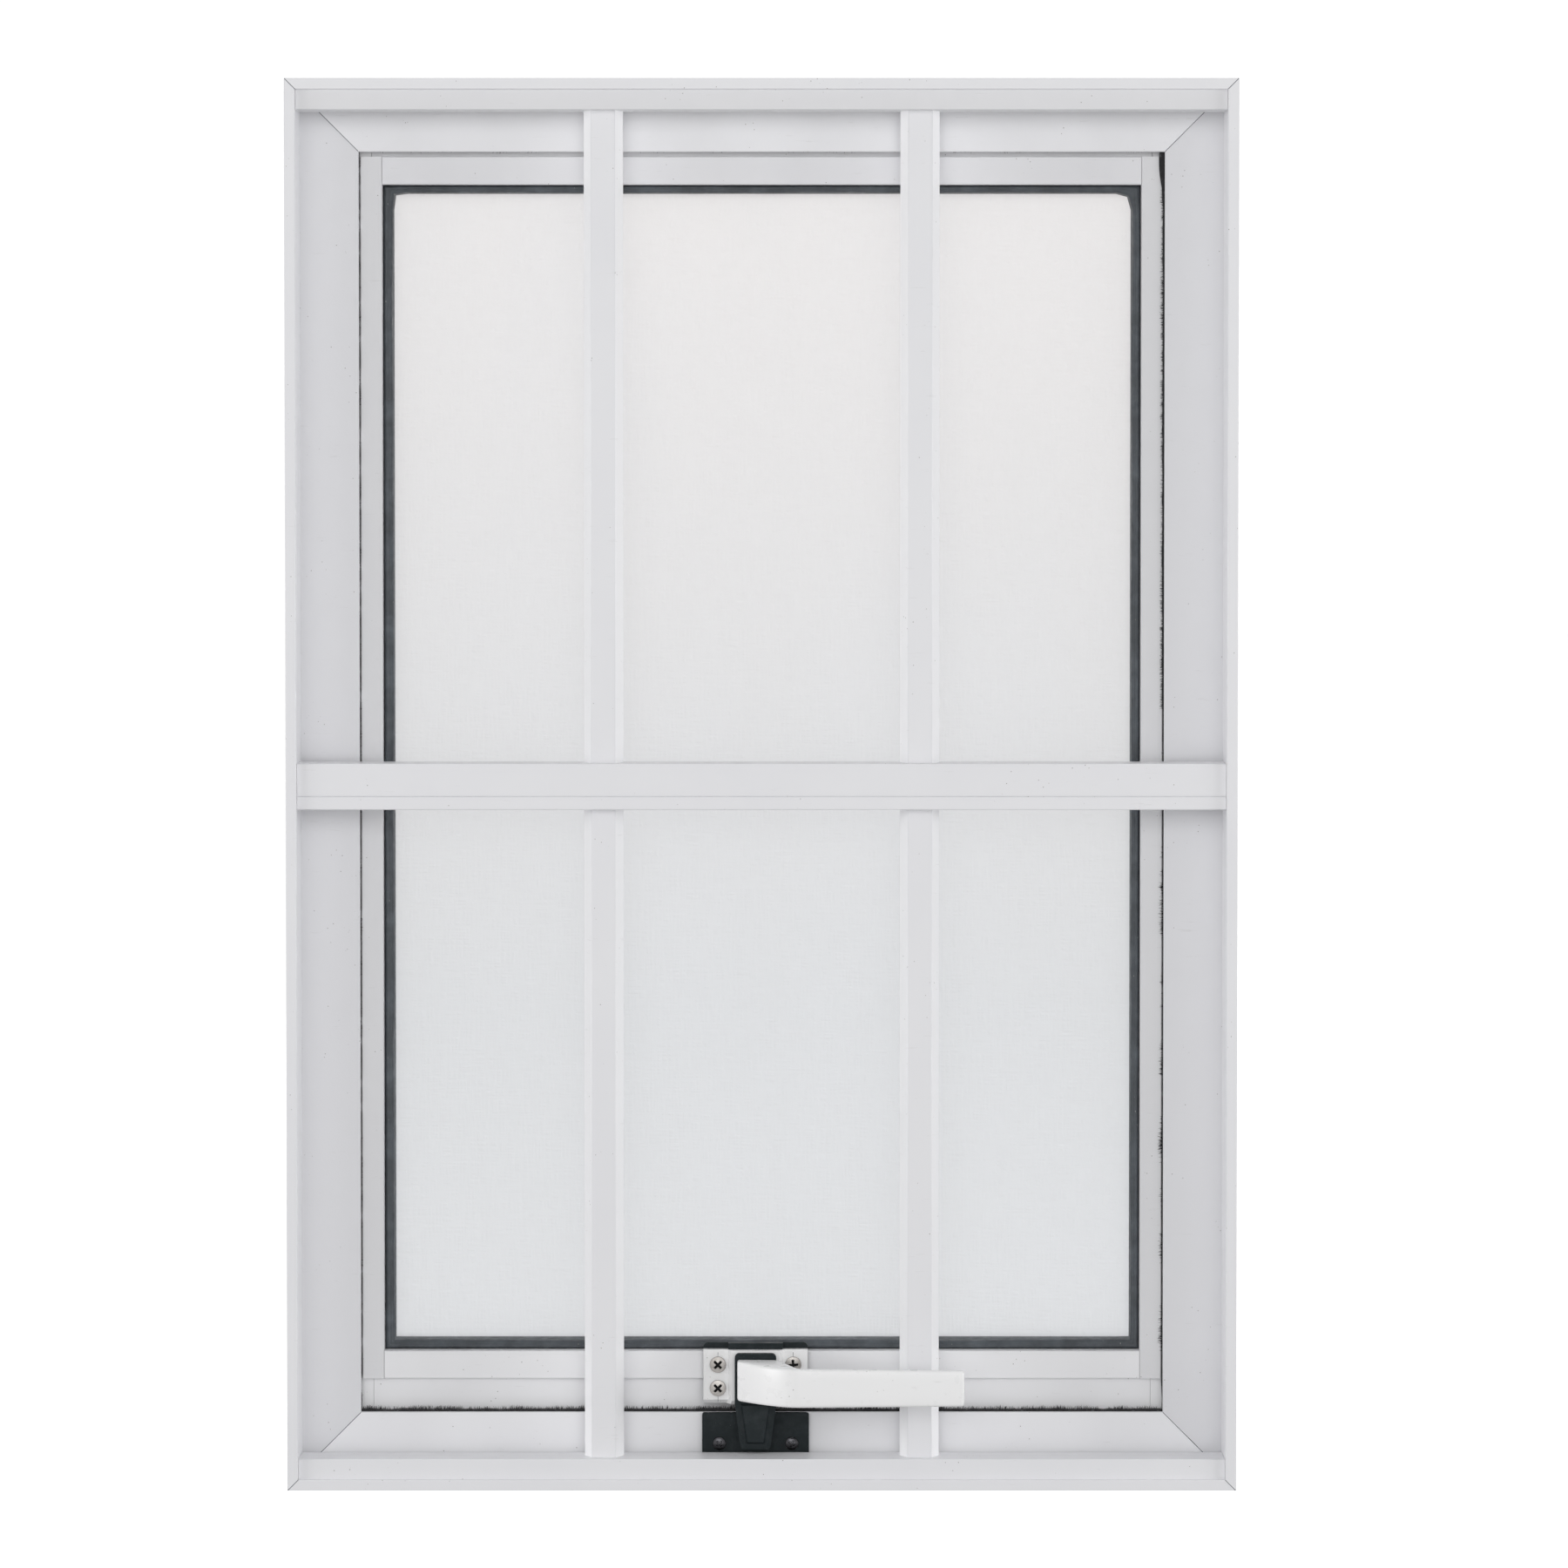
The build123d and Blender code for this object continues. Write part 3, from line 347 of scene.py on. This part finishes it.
for part in frame["record"]["subparts"]:
    name, slot = part["node"], part["material_slot"]
    piece = nodes[name]
    piece.data.materials.clear()
    special = [look for start, look in NODE_LOOKS.items() if name.startswith(start)]
    piece.data.materials.append(special[0] if special else SLOT_LOOKS[slot])
    rounding = ROUNDING.get(slot, 0)
    for start, size in NODE_ROUNDING.items():
        if name.startswith(start) and slot in PAINTED:
            rounding = size
    if rounding:
        weld = piece.modifiers.new("weld", "WELD")
        weld.merge_threshold = WELD_REACH
        bevel = piece.modifiers.new("edges", "BEVEL")
        bevel.width = rounding * MM
        bevel.segments = 2
        bevel.limit_method = "ANGLE"
        bevel.angle_limit = SHARP_ANGLE
        bevel.harden_normals = True


def new_piece(name, vertices, faces, body, slot, smooth=True):
    """A mesh that isn't in the CAD, riding on a body with the look of its slot."""
    mesh = bpy.data.meshes.new(name)
    mesh.from_pydata(vertices, [], faces)
    mesh.validate()
    if smooth:
        mesh.shade_smooth()
    mesh.materials.append(SLOT_LOOKS[slot])
    piece = bpy.data.objects.new(name, mesh)
    bpy.context.collection.objects.link(piece)
    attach(piece, body)
    return piece


# ---------------------------------------------------------------- inner gasket
# A soft section pushed in between the beads and the glass: it wanders a little
# along each side, so its sight line is never quite straight. The section is in mm,
# out over the glass from the sight line and back from the gasket's room side.
gasket_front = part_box("glazing_gasket_inner")[0].y
sight_low = Vector((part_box("glazing_bead_left")[1].x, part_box("glazing_bead_bottom")[1].z))
sight_high = Vector((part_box("glazing_bead_right")[0].x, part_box("glazing_bead_top")[0].z))
GASKET_SECTION = (
    (-3.3, 12.8), (-3.3, 9.6), (0.15, 9.3), (0.15, 2.0), (0.35, 0.9), (0.9, 0.25), (1.6, 0.05), (2.1, 0.35),
    (2.45, 0.95), (2.8, 0.75), (3.3, 0.9), (3.9, 1.5), (4.25, 2.4), (4.35, 4.0), (4.3, 9.0), (4.35, 12.9),
)
GASKET_INNERMOST, GASKET_OUTERMOST = 4.5, -3.5
GASKET_BACK = 12.95
GASKET_HELD = 9
GASKET_FREE = 4.4
GASKET_WANDER, GASKET_RIPPLE, GASKET_BULGE = 0.75, 0.22, 0.25
GASKET_LIP_DEPTH = 4
GASKET_STEP = 5 * MM
# the width of the bottom, right, top and left side, and how much each corner fills in
GASKET_REACH = (0.84, 0.84, 0.72, 0.95)
GASKET_CORNERS = (0.0, 0.02, 0.42, 0.2)


def gasket_stations():
    """Points round the sight line, each with the way into the glass and the number of its side."""
    corners = [
        Vector((sight_low.x, sight_low.y)), Vector((sight_high.x, sight_low.y)),
        Vector((sight_high.x, sight_high.y)), Vector((sight_low.x, sight_high.y)),
    ]
    middle = (corners[0] + corners[2]) / 2
    for index, start in enumerate(corners):
        end = corners[(index + 1) % 4]
        along = (end - start).normalized()
        inward = Vector((-along.y, along.x))
        inward *= 1 if inward.dot(middle - start) > 0 else -1
        diagonal = Vector((math.copysign(1, middle.x - start.x), math.copysign(1, middle.y - start.y)))
        before, after = GASKET_REACH[index - 1], GASKET_REACH[index]
        across, up = (before, after) if index % 2 == 0 else (after, before)
        softness = 1 + GASKET_CORNERS[index]
        yield start, Vector((diagonal.x * across, diagonal.y * up)) * softness, index
        count = round((end - start).length / GASKET_STEP)
        for step in range(2, count - 1):
            yield start + (end - start) * step / count, inward * GASKET_REACH[index], index


def gasket_mesh():
    """The section carried round the sight line. Its free lip wanders, the part in the groove doesn't."""
    vertices, faces = [], []
    stations = list(gasket_stations())
    for number, (base, inward, index) in enumerate(stations):
        corner = abs(inward.x) > 0.5 and abs(inward.y) > 0.5
        for point, (reach, depth) in enumerate(GASKET_SECTION):
            free = max(0.0, reach) / GASKET_FREE
            wander = noise.noise((base.x * 18, base.y * 18, index * 3.1)) * GASKET_WANDER
            ripple = noise.noise((base.x * 95, base.y * 95, index + 7.0)) * GASKET_RIPPLE
            shift = 0 if corner or depth > GASKET_HELD else (wander + ripple) * free
            bulge = noise.noise((base.x * 40, base.y * 40, point * 0.35 + 3)) * GASKET_BULGE
            bulge *= depth < GASKET_LIP_DEPTH
            inset = min(max(reach + shift, GASKET_OUTERMOST), GASKET_INNERMOST) * MM
            square = inward / max(abs(inward.x), abs(inward.y))
            place = base + (inward if reach > 0 else square) * inset
            y = gasket_front + min(max(depth + bulge, 0.0), GASKET_BACK) * MM
            vertices.append((place.x, y, place.y))
        ring = len(GASKET_SECTION)
        following = (number + 1) % len(stations)
        for point in range(ring - 1):
            a, b = number * ring + point, following * ring + point
            faces.append((a, b, b + 1, a + 1))
        a, b = number * ring, following * ring
        faces.append((a + ring - 1, b + ring - 1, b, a))
    return vertices, faces


# ---------------------------------------------------------------- lever
# The cast lever: a square root over the spindle, a swept bend towards the room
# and a flat grip, all with soft edges and a slightly crowned front.
lever_low, lever_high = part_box("lever_handle")
lever_axis_z = (lever_low.z + lever_high.z) / 2
LEVER_ROOT_DEPTH = 8.0 * MM
LEVER_THICKNESS = 4.2 * MM
LEVER_ROOT_WIDTH = 15.2 * MM
LEVER_BEND_END = 27.0 * MM
LEVER_BEND_POWER = 1.7
LEVER_EDGE = 1.3 * MM
LEVER_EDGE_SHARE = 0.42
LEVER_CROWN = 0.25 * MM
LEVER_TIP_LOSS = 1.6 * MM
LEVER_STATIONS = 90
# how far in from each end, and how much smaller the section is there, in mm
LEVER_ROOT_END = ((0.0, 0.9), (0.12, 0.45), (0.45, 0.12))
LEVER_TIP_END = ((0.75, 0.12), (0.3, 0.45), (0.0, 1.0))
LEVER_FULL_FROM, LEVER_FULL_TO = 0.9, 1.5
CORNER_STEPS = 4


def eased(value, start, end):
    share = min(max((value - start) / (end - start), 0), 1)
    return share * share * (3 - 2 * share)


def lever_section(along, shrink):
    """A rounded section across the lever at a distance from its root end."""
    bend_front = 1 - (1 - min(max(along / LEVER_BEND_END, 0), 1)) ** LEVER_BEND_POWER
    bend_back = eased(along, LEVER_ROOT_WIDTH, LEVER_BEND_END)
    root_front = lever_high.y - LEVER_ROOT_DEPTH
    front = root_front + (lever_low.y - root_front) * bend_front + shrink
    back = lever_high.y + (lever_low.y + LEVER_THICKNESS - lever_high.y) * bend_back
    back -= shrink if along > LEVER_BEND_END else 0
    taper = LEVER_TIP_LOSS / 2 * along / (lever_high.x - lever_low.x)
    half = (lever_high.z - lever_low.z) / 2 - taper - shrink
    radius = min(LEVER_EDGE, (back - front) * LEVER_EDGE_SHARE)
    points = []
    for y, z, first in ((back, half, 0), (front, half, 1), (front, -half, 2), (back, -half, 3)):
        inner_y = y + (radius if y == front else -radius)
        inner_z = z - math.copysign(radius, z)
        for step in range(CORNER_STEPS + 1):
            angle = math.pi / 2 * (first + step / CORNER_STEPS)
            points.append((inner_y + radius * math.cos(angle), inner_z + radius * math.sin(angle)))
        if first == 1:
            for share in (0.25, 0.5, 0.75):
                points.append((front - LEVER_CROWN * math.sin(math.pi * share), inner_z * (1 - 2 * share)))
    return [(max(y, lever_low.y), z) for y, z in points]


def lever_mesh():
    """Sections from root to tip, closed at both ends."""
    length = (lever_high.x - lever_low.x) / MM
    full = length - LEVER_FULL_FROM - LEVER_FULL_TO
    stations = list(LEVER_ROOT_END)
    stations += [(LEVER_FULL_FROM + full * step / LEVER_STATIONS, 0.0) for step in range(LEVER_STATIONS + 1)]
    stations += [(length - inset, loss) for inset, loss in LEVER_TIP_END]
    vertices, faces = [], []
    for along, shrink in stations:
        for y, z in lever_section(along * MM, shrink * MM):
            vertices.append((lever_low.x + along * MM, y, lever_axis_z + z))
    ring = len(vertices) // len(stations)
    for number in range(len(stations) - 1):
        for point in range(ring):
            a, b = number * ring + point, number * ring + (point + 1) % ring
            faces.append((a, a + ring, b + ring, b))
    faces.append(tuple(range(ring)))
    faces.append(tuple(reversed(range(len(vertices) - ring, len(vertices)))))
    return vertices, faces


lever = new_piece("lever_cast", *lever_mesh(), "lever", "handle_white")
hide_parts("lever_handle")

gasket = new_piece("gasket_inner_soft", *gasket_mesh(), "sash", "gasket_rubber")
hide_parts("glazing_gasket_inner")


# ---------------------------------------------------------------- pile fins and hairs
# Each pile has a dark fin, which closes the gap behind the flange's edge, and loose
# fibres, which show where they poke past the flange.
jamb_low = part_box("frame_jamb_right")[0]
rim_front = jamb_low.y
opening_right = jamb_low.x
opening_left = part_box("frame_jamb_left")[1].x
opening_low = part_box("frame_sill")[1].z
opening_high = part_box("frame_head")[0].z
bead_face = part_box("glazing_bead_right")[0].y
sash_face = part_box("sash_rail_bottom")[0].y
pile_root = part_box("pile_seal_jamb_right")[0].y + 0.9 * MM
flange_rear = pile_root - 1.0 * MM
hair_root = pile_root - 0.3 * MM
fin_near, fin_far = flange_rear + 0.3 * MM, sash_face - 0.15 * MM
HAIR_RADIUS = 0.125 * MM
HAIR_TUCK = 1.2 * MM
HAIR_HIDDEN = 1.4 * MM
FIN_TUCK = 0.7 * MM
STRIP_STEP = 2.5 * MM


def hair(vertices, faces, root, tip, sag, radius):
    """One fibre: a thin three-sided thread that narrows to its tip."""
    axis = (tip - root).normalized()
    side = axis.orthogonal().normalized()
    other = axis.cross(side)
    first = len(vertices)
    for level, share in enumerate((0.0, 0.4, 0.75)):
        middle = root.lerp(tip, share) + sag * math.sin(math.pi * share)
        width = radius * (1 - 0.6 * share)
        for turn in range(3):
            angle = 2 * math.pi * turn / 3
            vertices.append(middle + (side * math.cos(angle) + other * math.sin(angle)) * width)
        if level:
            for turn in range(3):
                a = first + (level - 1) * 3 + turn
                b = first + (level - 1) * 3 + (turn + 1) % 3
                faces.append((a, b, b + 3, a + 3))
    vertices.append(tip)
    last = first + 6
    for turn in range(3):
        faces.append((last + turn, last + (turn + 1) % 3, len(vertices) - 1))


def fringe(name, start, end, into, count, reach, density, seed):
    """Fibres rooted in clumps along a line behind the flange and leaning out past its edge."""
    dice = random.Random(seed)
    vertices, faces = [], []
    along = end - start
    while count > 0:
        share = dice.random()
        clump = noise.noise((share * 34, seed * 2.7, 0)) * 0.9 + noise.noise((share * 150, seed, 5)) * 0.6
        if clump + density(share) < dice.random():
            count -= 0.35
            continue
        count -= 1
        root = start + along * share
        root += Vector((0, dice.uniform(0.0, 1.6) * MM, 0))
        length = dice.uniform(*reach) * (1 + 0.5 * max(0, clump)) * MM
        lean = along.normalized() * dice.uniform(-0.9, 0.9) * MM
        tip = root + into * (HAIR_HIDDEN + length) + lean
        tip.y = max(root.y + dice.uniform(-1.6, 0.2) * MM, flange_rear + 0.15 * MM)
        tip.y = min(tip.y, bead_face - 0.1 * MM)
        sag = Vector((0, dice.uniform(-0.2, 0.2), 0)) * MM + lean * dice.uniform(-0.4, 0.4)
        hair(vertices, faces, root, tip, sag, HAIR_RADIUS * dice.uniform(0.7, 1.3))
    return new_piece(name, vertices, faces, "frame", "pile", smooth=False)


def even(width):
    """The same width all along."""
    return lambda share: width


def strip(name, start, end, across, near, far, width, body, slot, seed, ragged=0.25):
    """A thin closed strip along a line between two depths. One edge wanders by the ragged share."""
    count = max(4, round((end - start).length / STRIP_STEP))
    vertices, faces = [], []
    for step in range(count + 1):
        base = start.lerp(end, step / count)
        rough = noise.noise((step * 0.31, seed * 1.7, 2)) + noise.noise((step * 1.9, seed, 9))
        reach = width(step / count) * (1 + ragged * rough)
        for y, share in ((near, 0), (far, 0), (far, 1), (near, 1)):
            corner = base + across * reach * share
            vertices.append((corner.x, y, corner.z))
    for step in range(count):
        for turn in range(4):
            a, b = step * 4 + turn, step * 4 + (turn + 1) % 4
            faces.append((a, b, b + 4, a + 4))
    faces.append((3, 2, 1, 0))
    faces.append(tuple(range(count * 4, count * 4 + 4)))
    return new_piece(name, vertices, faces, body, slot, smooth=False)


def right_fin(share):
    """Wide at the head, where the fin bunches in the corner, and thin below the crossbar."""
    return (0.95 + 0.55 * eased(share, 0.52, 0.60) + 1.5 * eased(share, 0.955, 0.998)) * MM


def right_density(share):
    """The right pile is frayed above the crossbar."""
    return 0.9 if 0.56 < share < 0.985 else 0.0


low_left, low_right = Vector((opening_left, 0, opening_low)), Vector((opening_right, 0, opening_low))
high_left, high_right = Vector((opening_left, 0, opening_high)), Vector((opening_right, 0, opening_high))
# each side's ends, the way into the opening, the fin's width, and its hairs
OPENING_SIDES = {
    "right": (low_right, high_right, Vector((-1, 0, 0)), right_fin, (3400, (0.4, 1.8), right_density, 11)),
    "left": (low_left, high_left, Vector((1, 0, 0)), even(0.75 * MM), (700, (0.1, 0.8), even(0.2), 12)),
    "sill": (low_left, low_right, Vector((0, 0, 1)), even(1.45 * MM), (5200, (0.6, 2.4), even(0.6), 13)),
    "head": (high_left, high_right, Vector((0, 0, -1)), even(0.5 * MM), (260, (0.0, 0.5), even(0.1), 14)),
}
for name, (start, end, into, width, hairs) in OPENING_SIDES.items():
    tuck = into * FIN_TUCK
    strip(
        "pile_fin_" + name, start - tuck, end - tuck, into, fin_near, fin_far, width,
        "frame", "pile", len(name),
    )
for name, (start, end, into, width, hairs) in OPENING_SIDES.items():
    root = Vector((0, hair_root, 0)) - into * HAIR_TUCK
    fringe("pile_hairs_" + name, start + root, end + root, into, *hairs)


# ---------------------------------------------------------------- mitre seams
# A dark hairline in each mitre, across the flange and the rim: partly sealer, partly painted shadow in the
# mitre gap.
frame_low, frame_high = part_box("frame_sill")[0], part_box("frame_head")[1]
flange_front = flange_rear - 1.5 * MM
RIM_WIDTH = 4.6 * MM
SEAM_GAP = 0.1 * MM
SEAM_INSET = 0.15 * MM
SEAM_WIDTH = 0.26 * MM
SEAM_PROUD = 0.03 * MM
SEAM_DEPTH = 0.5 * MM
for side_name, side in (("left", -1), ("right", 1)):
    for level_name, level in (("low", 1), ("high", -1)):
        outer = Vector((side * frame_high.x, 0, frame_low.z if level == 1 else frame_high.z))
        inward = Vector((-side, 0, level))
        across = Vector((side, 0, level)).normalized()
        inset = frame_high.x - opening_right
        for part_name, near, far, front in (
            ("flange", RIM_WIDTH + SEAM_GAP, inset - SEAM_GAP, flange_front),
            ("rim", SEAM_INSET, RIM_WIDTH - SEAM_GAP, rim_front),
        ):
            strip(
                f"mitre_seam_{part_name}_{level_name}_{side_name}",
                outer + inward * near - across * SEAM_WIDTH / 2,
                outer + inward * far - across * SEAM_WIDTH / 2,
                across, front - SEAM_PROUD, front + SEAM_DEPTH, even(SEAM_WIDTH),
                "frame", "gasket_rubber", side + level,
            )


# Paint bridges the joint between each grille rail and the rim, just under the rail's front.
BRIDGE_WIDTH = 0.62 * MM
BRIDGE_OVERLAP = 0.08 * MM
BRIDGE_NEAR, BRIDGE_FAR = 0.02 * MM, 0.65 * MM
for level_name, level in (("bottom", 1), ("top", -1)):
    rail_low, rail_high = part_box("grille_rail_" + level_name)
    z = (rail_low.z if level == 1 else rail_high.z) - level * BRIDGE_OVERLAP
    strip(
        "rail_seam_" + level_name, Vector((rail_low.x, 0, z)), Vector((rail_high.x, 0, z)),
        Vector((0, 0, level)), rail_low.y + BRIDGE_NEAR, rail_low.y + BRIDGE_FAR,
        even(BRIDGE_WIDTH), "frame", "white_powder_coat", level + 3.3, ragged=0.04,
    )


# ---------------------------------------------------------------- screws in sight
# Pressed cross-recess heads, the recess near-black with grime and painted shade. Their sizes are in mm: the
# recess has a reach out from the middle, an arm's half width and a depth.
HANDLE_HEAD = {"radius": 3.5, "height": 1.4, "dome": 0.45, "reach": 2.25, "arm": 0.42, "depth": 0.95}
STRIKE_HEAD = {"radius": 2.8, "height": 1.4, "dome": 0.7, "reach": 1.5, "arm": 0.34, "depth": 0.8}
SHANK_RADIUS = 1.7 * MM
HEAD_RINGS = 22
HEAD_SPOKES = 96
SHANK_SPOKES = 24
SINK_SHARE = 0.3
HEAD_SHARP_ANGLE = math.radians(50)


def recess_share(across, up, reach, arm):
    """How far down the recess a point is, from 0 on the head to 1 on its floor."""
    turned = ((across + up) / 2**0.5, (across - up) / 2**0.5)
    long_side, short_side = max(map(abs, turned)), min(map(abs, turned))
    if long_side > reach:
        return 0.0
    slot = 1 - eased(short_side, arm * 0.8, arm * 1.25)
    return slot * (1 - eased(long_side, reach * 0.72, reach))


def screw_head(vertices, faces, dark, centre, turn, radius, height, dome, reach, arm, depth):
    """One round head facing the room, standing on the plane through its centre.

    Each face adds to dark whether it lies in the recess, which takes the near-black of grime and painted
    shade.
    """
    first = len(vertices)
    profile = [(radius * 0.985, 0.0), (radius, height * 0.25), (radius * 0.97, height * 0.6)]
    profile += [(radius * 0.96 * (1 - step / HEAD_RINGS), None) for step in range(HEAD_RINGS)]
    for reach_out, rise in profile:
        for spoke in range(HEAD_SPOKES):
            angle = 2 * math.pi * spoke / HEAD_SPOKES + turn
            x, z = reach_out * math.cos(angle), reach_out * math.sin(angle)
            lift = rise
            if lift is None:
                share = reach_out / radius
                flat = (reach_out * math.cos(angle - turn), reach_out * math.sin(angle - turn))
                lift = height - dome * share * share - depth * recess_share(*flat, reach, arm)
            vertices.append((centre[0] + x, centre[1] - lift, centre[2] + z))
    for ring in range(len(profile) - 1):
        for spoke in range(HEAD_SPOKES):
            a = first + ring * HEAD_SPOKES + spoke
            b = first + ring * HEAD_SPOKES + (spoke + 1) % HEAD_SPOKES
            faces.append((a, b, b + HEAD_SPOKES, a + HEAD_SPOKES))
            # Faces deep in the recess take the near-black: grime and painted shade.
            deepest = max(vertices[corner][1] for corner in faces[-1])
            sunk = deepest - centre[1] + height
            dark.append(ring > 2 and sunk > dome + depth * SINK_SHARE)
    last = first + (len(profile) - 1) * HEAD_SPOKES
    faces.append(tuple(range(last, last + HEAD_SPOKES)))
    dark.append(True)
    faces.append(tuple(reversed(range(first, first + HEAD_SPOKES))))
    dark.append(False)


def screw_group(name, node, count_x, count_z, body, slot, sizes, look):
    """Heads at the places of a node's screws, with their shanks behind them."""
    low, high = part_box(node)
    head = {measure: value * MM for measure, value in sizes.items()}
    radius = head["radius"]
    seat = low.y + head["height"]
    vertices, faces, dark = [], [], []
    for column in range(count_x):
        for row in range(count_z):
            x = low.x + radius + (high.x - low.x - 2 * radius) * column / max(1, count_x - 1)
            z = low.z + radius + (high.z - low.z - 2 * radius) * row / max(1, count_z - 1)
            turn = noise.noise((column * 3.3, row * 5.1, len(name))) * 1.6
            screw_head(vertices, faces, dark, (x, seat, z), turn, **head)
            first = len(vertices)
            for y in (seat, high.y):
                for spoke in range(SHANK_SPOKES):
                    angle = 2 * math.pi * spoke / SHANK_SPOKES
                    across, up = SHANK_RADIUS * math.cos(angle), SHANK_RADIUS * math.sin(angle)
                    vertices.append((x + across, y, z + up))
            last = first + SHANK_SPOKES
            for spoke in range(SHANK_SPOKES):
                a, b = first + spoke, first + (spoke + 1) % SHANK_SPOKES
                faces.append((a, a + SHANK_SPOKES, b + SHANK_SPOKES, b))
            faces.append(tuple(reversed(range(last, last + SHANK_SPOKES))))
            faces.append(tuple(range(first, last)))
            dark += [False] * (SHANK_SPOKES + 2)
    group = new_piece(name, vertices, faces, body, slot)
    group.data.materials[0] = look
    group.data.materials.append(GRIME_AND_PAINTED_SHADE)
    for face, sunk in zip(group.data.polygons, dark):
        face.material_index = int(sunk)
    group.data.set_sharp_from_angle(angle=HEAD_SHARP_ANGLE)
    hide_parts(node)


screw_group(
    "handle_screw_heads", "handle_screws", 2, 2, "sash", "stainless_steel", HANDLE_HEAD, STAINLESS,
)
screw_group(
    "strike_screw_heads", "strike_screws", 2, 1, "frame", "black_steel", STRIKE_HEAD, STRIKE_SCREW,
)


# Scribed marks that lined up the screw holes, still showing above and below the heads.
screws_low, screws_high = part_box("handle_screws")
SCORE_WIDTH = 0.16 * MM
SCORE_LENGTH = 2.2 * MM
SCORE_PROUD = 0.012 * MM
SCORE_SHORT = 0.8
head_radius = HANDLE_HEAD["radius"] * MM
score_face = screws_low.y + HANDLE_HEAD["height"] * MM
for side_name, x in (("left", screws_low.x + head_radius), ("right", screws_high.x - head_radius)):
    for level_name, z, length in (
        ("above", screws_high.z, SCORE_LENGTH * SCORE_SHORT),
        ("below", screws_low.z - SCORE_LENGTH, SCORE_LENGTH),
    ):
        strip(
            f"score_{level_name}_{side_name}",
            Vector((x - SCORE_WIDTH / 2, 0, z)), Vector((x - SCORE_WIDTH / 2, 0, z + length)),
            Vector((1, 0, 0)), score_face - SCORE_PROUD, score_face + SCORE_PROUD * 10,
            even(SCORE_WIDTH), "sash", "gasket_rubber", x / MM,
        )


# ---------------------------------------------------------------- stage
FLOOR_REACH = 14.0
FLOOR_CORNERS = ((-1, -1), (1, -1), (1, 1), (-1, 1))
floor_mesh = bpy.data.meshes.new("floor")
floor_mesh.from_pydata(
    [(x * FLOOR_REACH, y * FLOOR_REACH, 0) for x, y in FLOOR_CORNERS], [], [(0, 1, 2, 3)],
)
floor = bpy.data.objects.new("floor", floor_mesh)
bpy.context.collection.objects.link(floor)
paper = Look("studio_paper", (0.93, 0.93, 0.93), Specular_IOR_Level=0.1)
floor_mesh.materials.append(
    paper.finish(
        paper.tint(paper.span(paper.noise(3, 2), 0.4, 0.7, 0.0, 1.0), (0.92, 0.92, 0.92)),
        paper.span(paper.noise(40), 0.3, 0.7, 0.8, 0.9),
        paper.bump(paper.noise(500), 0.05, 0.0002),
    )
)
floor.visible_diffuse = False

SKY_LIGHT = 0.40
SKY_SEEN = 1.05
FLOOR_GLOW = 0.62
paper.shader.inputs["Emission Color"].default_value = (1, 1, 1, 1)
paper.shader.inputs["Emission Strength"].default_value = FLOOR_GLOW

# The world lights the object at one strength. It is brighter where it is seen: directly,
# through the glass and in reflections.
world = bpy.data.worlds.new("studio")
world.use_nodes = True
world_nodes, world_links = world.node_tree.nodes, world.node_tree.links
sky = world_nodes["Background"]
sky.inputs["Color"].default_value = (1, 1, 1, 1)
ray = world_nodes.new("ShaderNodeLightPath")
seen = ray.outputs["Is Camera Ray"]
for kind in ("Is Transmission Ray", "Is Glossy Ray"):
    either = world_nodes.new("ShaderNodeMath")
    either.operation = "MAXIMUM"
    world_links.new(seen, either.inputs[0])
    world_links.new(ray.outputs[kind], either.inputs[1])
    seen = either.outputs["Value"]
strength = world_nodes.new("ShaderNodeMapRange")
strength.inputs["To Min"].default_value = SKY_LIGHT
strength.inputs["To Max"].default_value = SKY_SEEN
world_links.new(seen, strength.inputs["Value"])
world_links.new(strength.outputs["Result"], sky.inputs["Strength"])
bpy.context.scene.world = world

middle = (cad_box[0] + cad_box[1]) / 2


def soft_light(name, offset, size, power):
    """A rectangle of light, placed from the middle of the window and aimed at it."""
    data = bpy.data.lights.new(name, "AREA")
    data.shape = "RECTANGLE"
    data.size, data.size_y = size
    data.energy = power
    light = bpy.data.objects.new(name, data)
    light.location = middle + Vector(offset)
    light.rotation_euler = (middle - light.location).to_track_quat("-Z", "Y").to_euler()
    bpy.context.collection.objects.link(light)


soft_light("key", (-0.2, -2.6, 0.75), (2.0, 0.9), 13.2)
soft_light("fill", (0.3, -2.7, -0.1), (2.2, 0.4), 6)
soft_light("side_left", (-2.05, -0.60, 0.08), (0.7, 0.8), 15)
soft_light("side_right", (2.05, -0.60, 0.08), (0.7, 0.8), 15.5)
soft_light("rear", (0.4, 2.2, 1.8), (2.0, 1.4), 11)

# The camera stands high and looks slightly down, with a little downward shift.
CAMERA_DISTANCE = 2.654
CAMERA_X = 0.0094
CAMERA_Z = 0.4304
CAMERA_TILT = 0.0324
CAMERA_LENS = 145.25
CAMERA_SHIFT = -0.07
camera = bpy.data.objects.new("camera", bpy.data.cameras.new("camera"))
camera.location = (CAMERA_X, rim_front - CAMERA_DISTANCE, CAMERA_Z)
camera.rotation_euler = (math.pi / 2 - CAMERA_TILT, 0, 0)
camera.data.lens = CAMERA_LENS
camera.data.shift_y = CAMERA_SHIFT
bpy.context.collection.objects.link(camera)
bpy.context.scene.camera = camera
bpy.context.scene.view_settings.view_transform = "Standard"
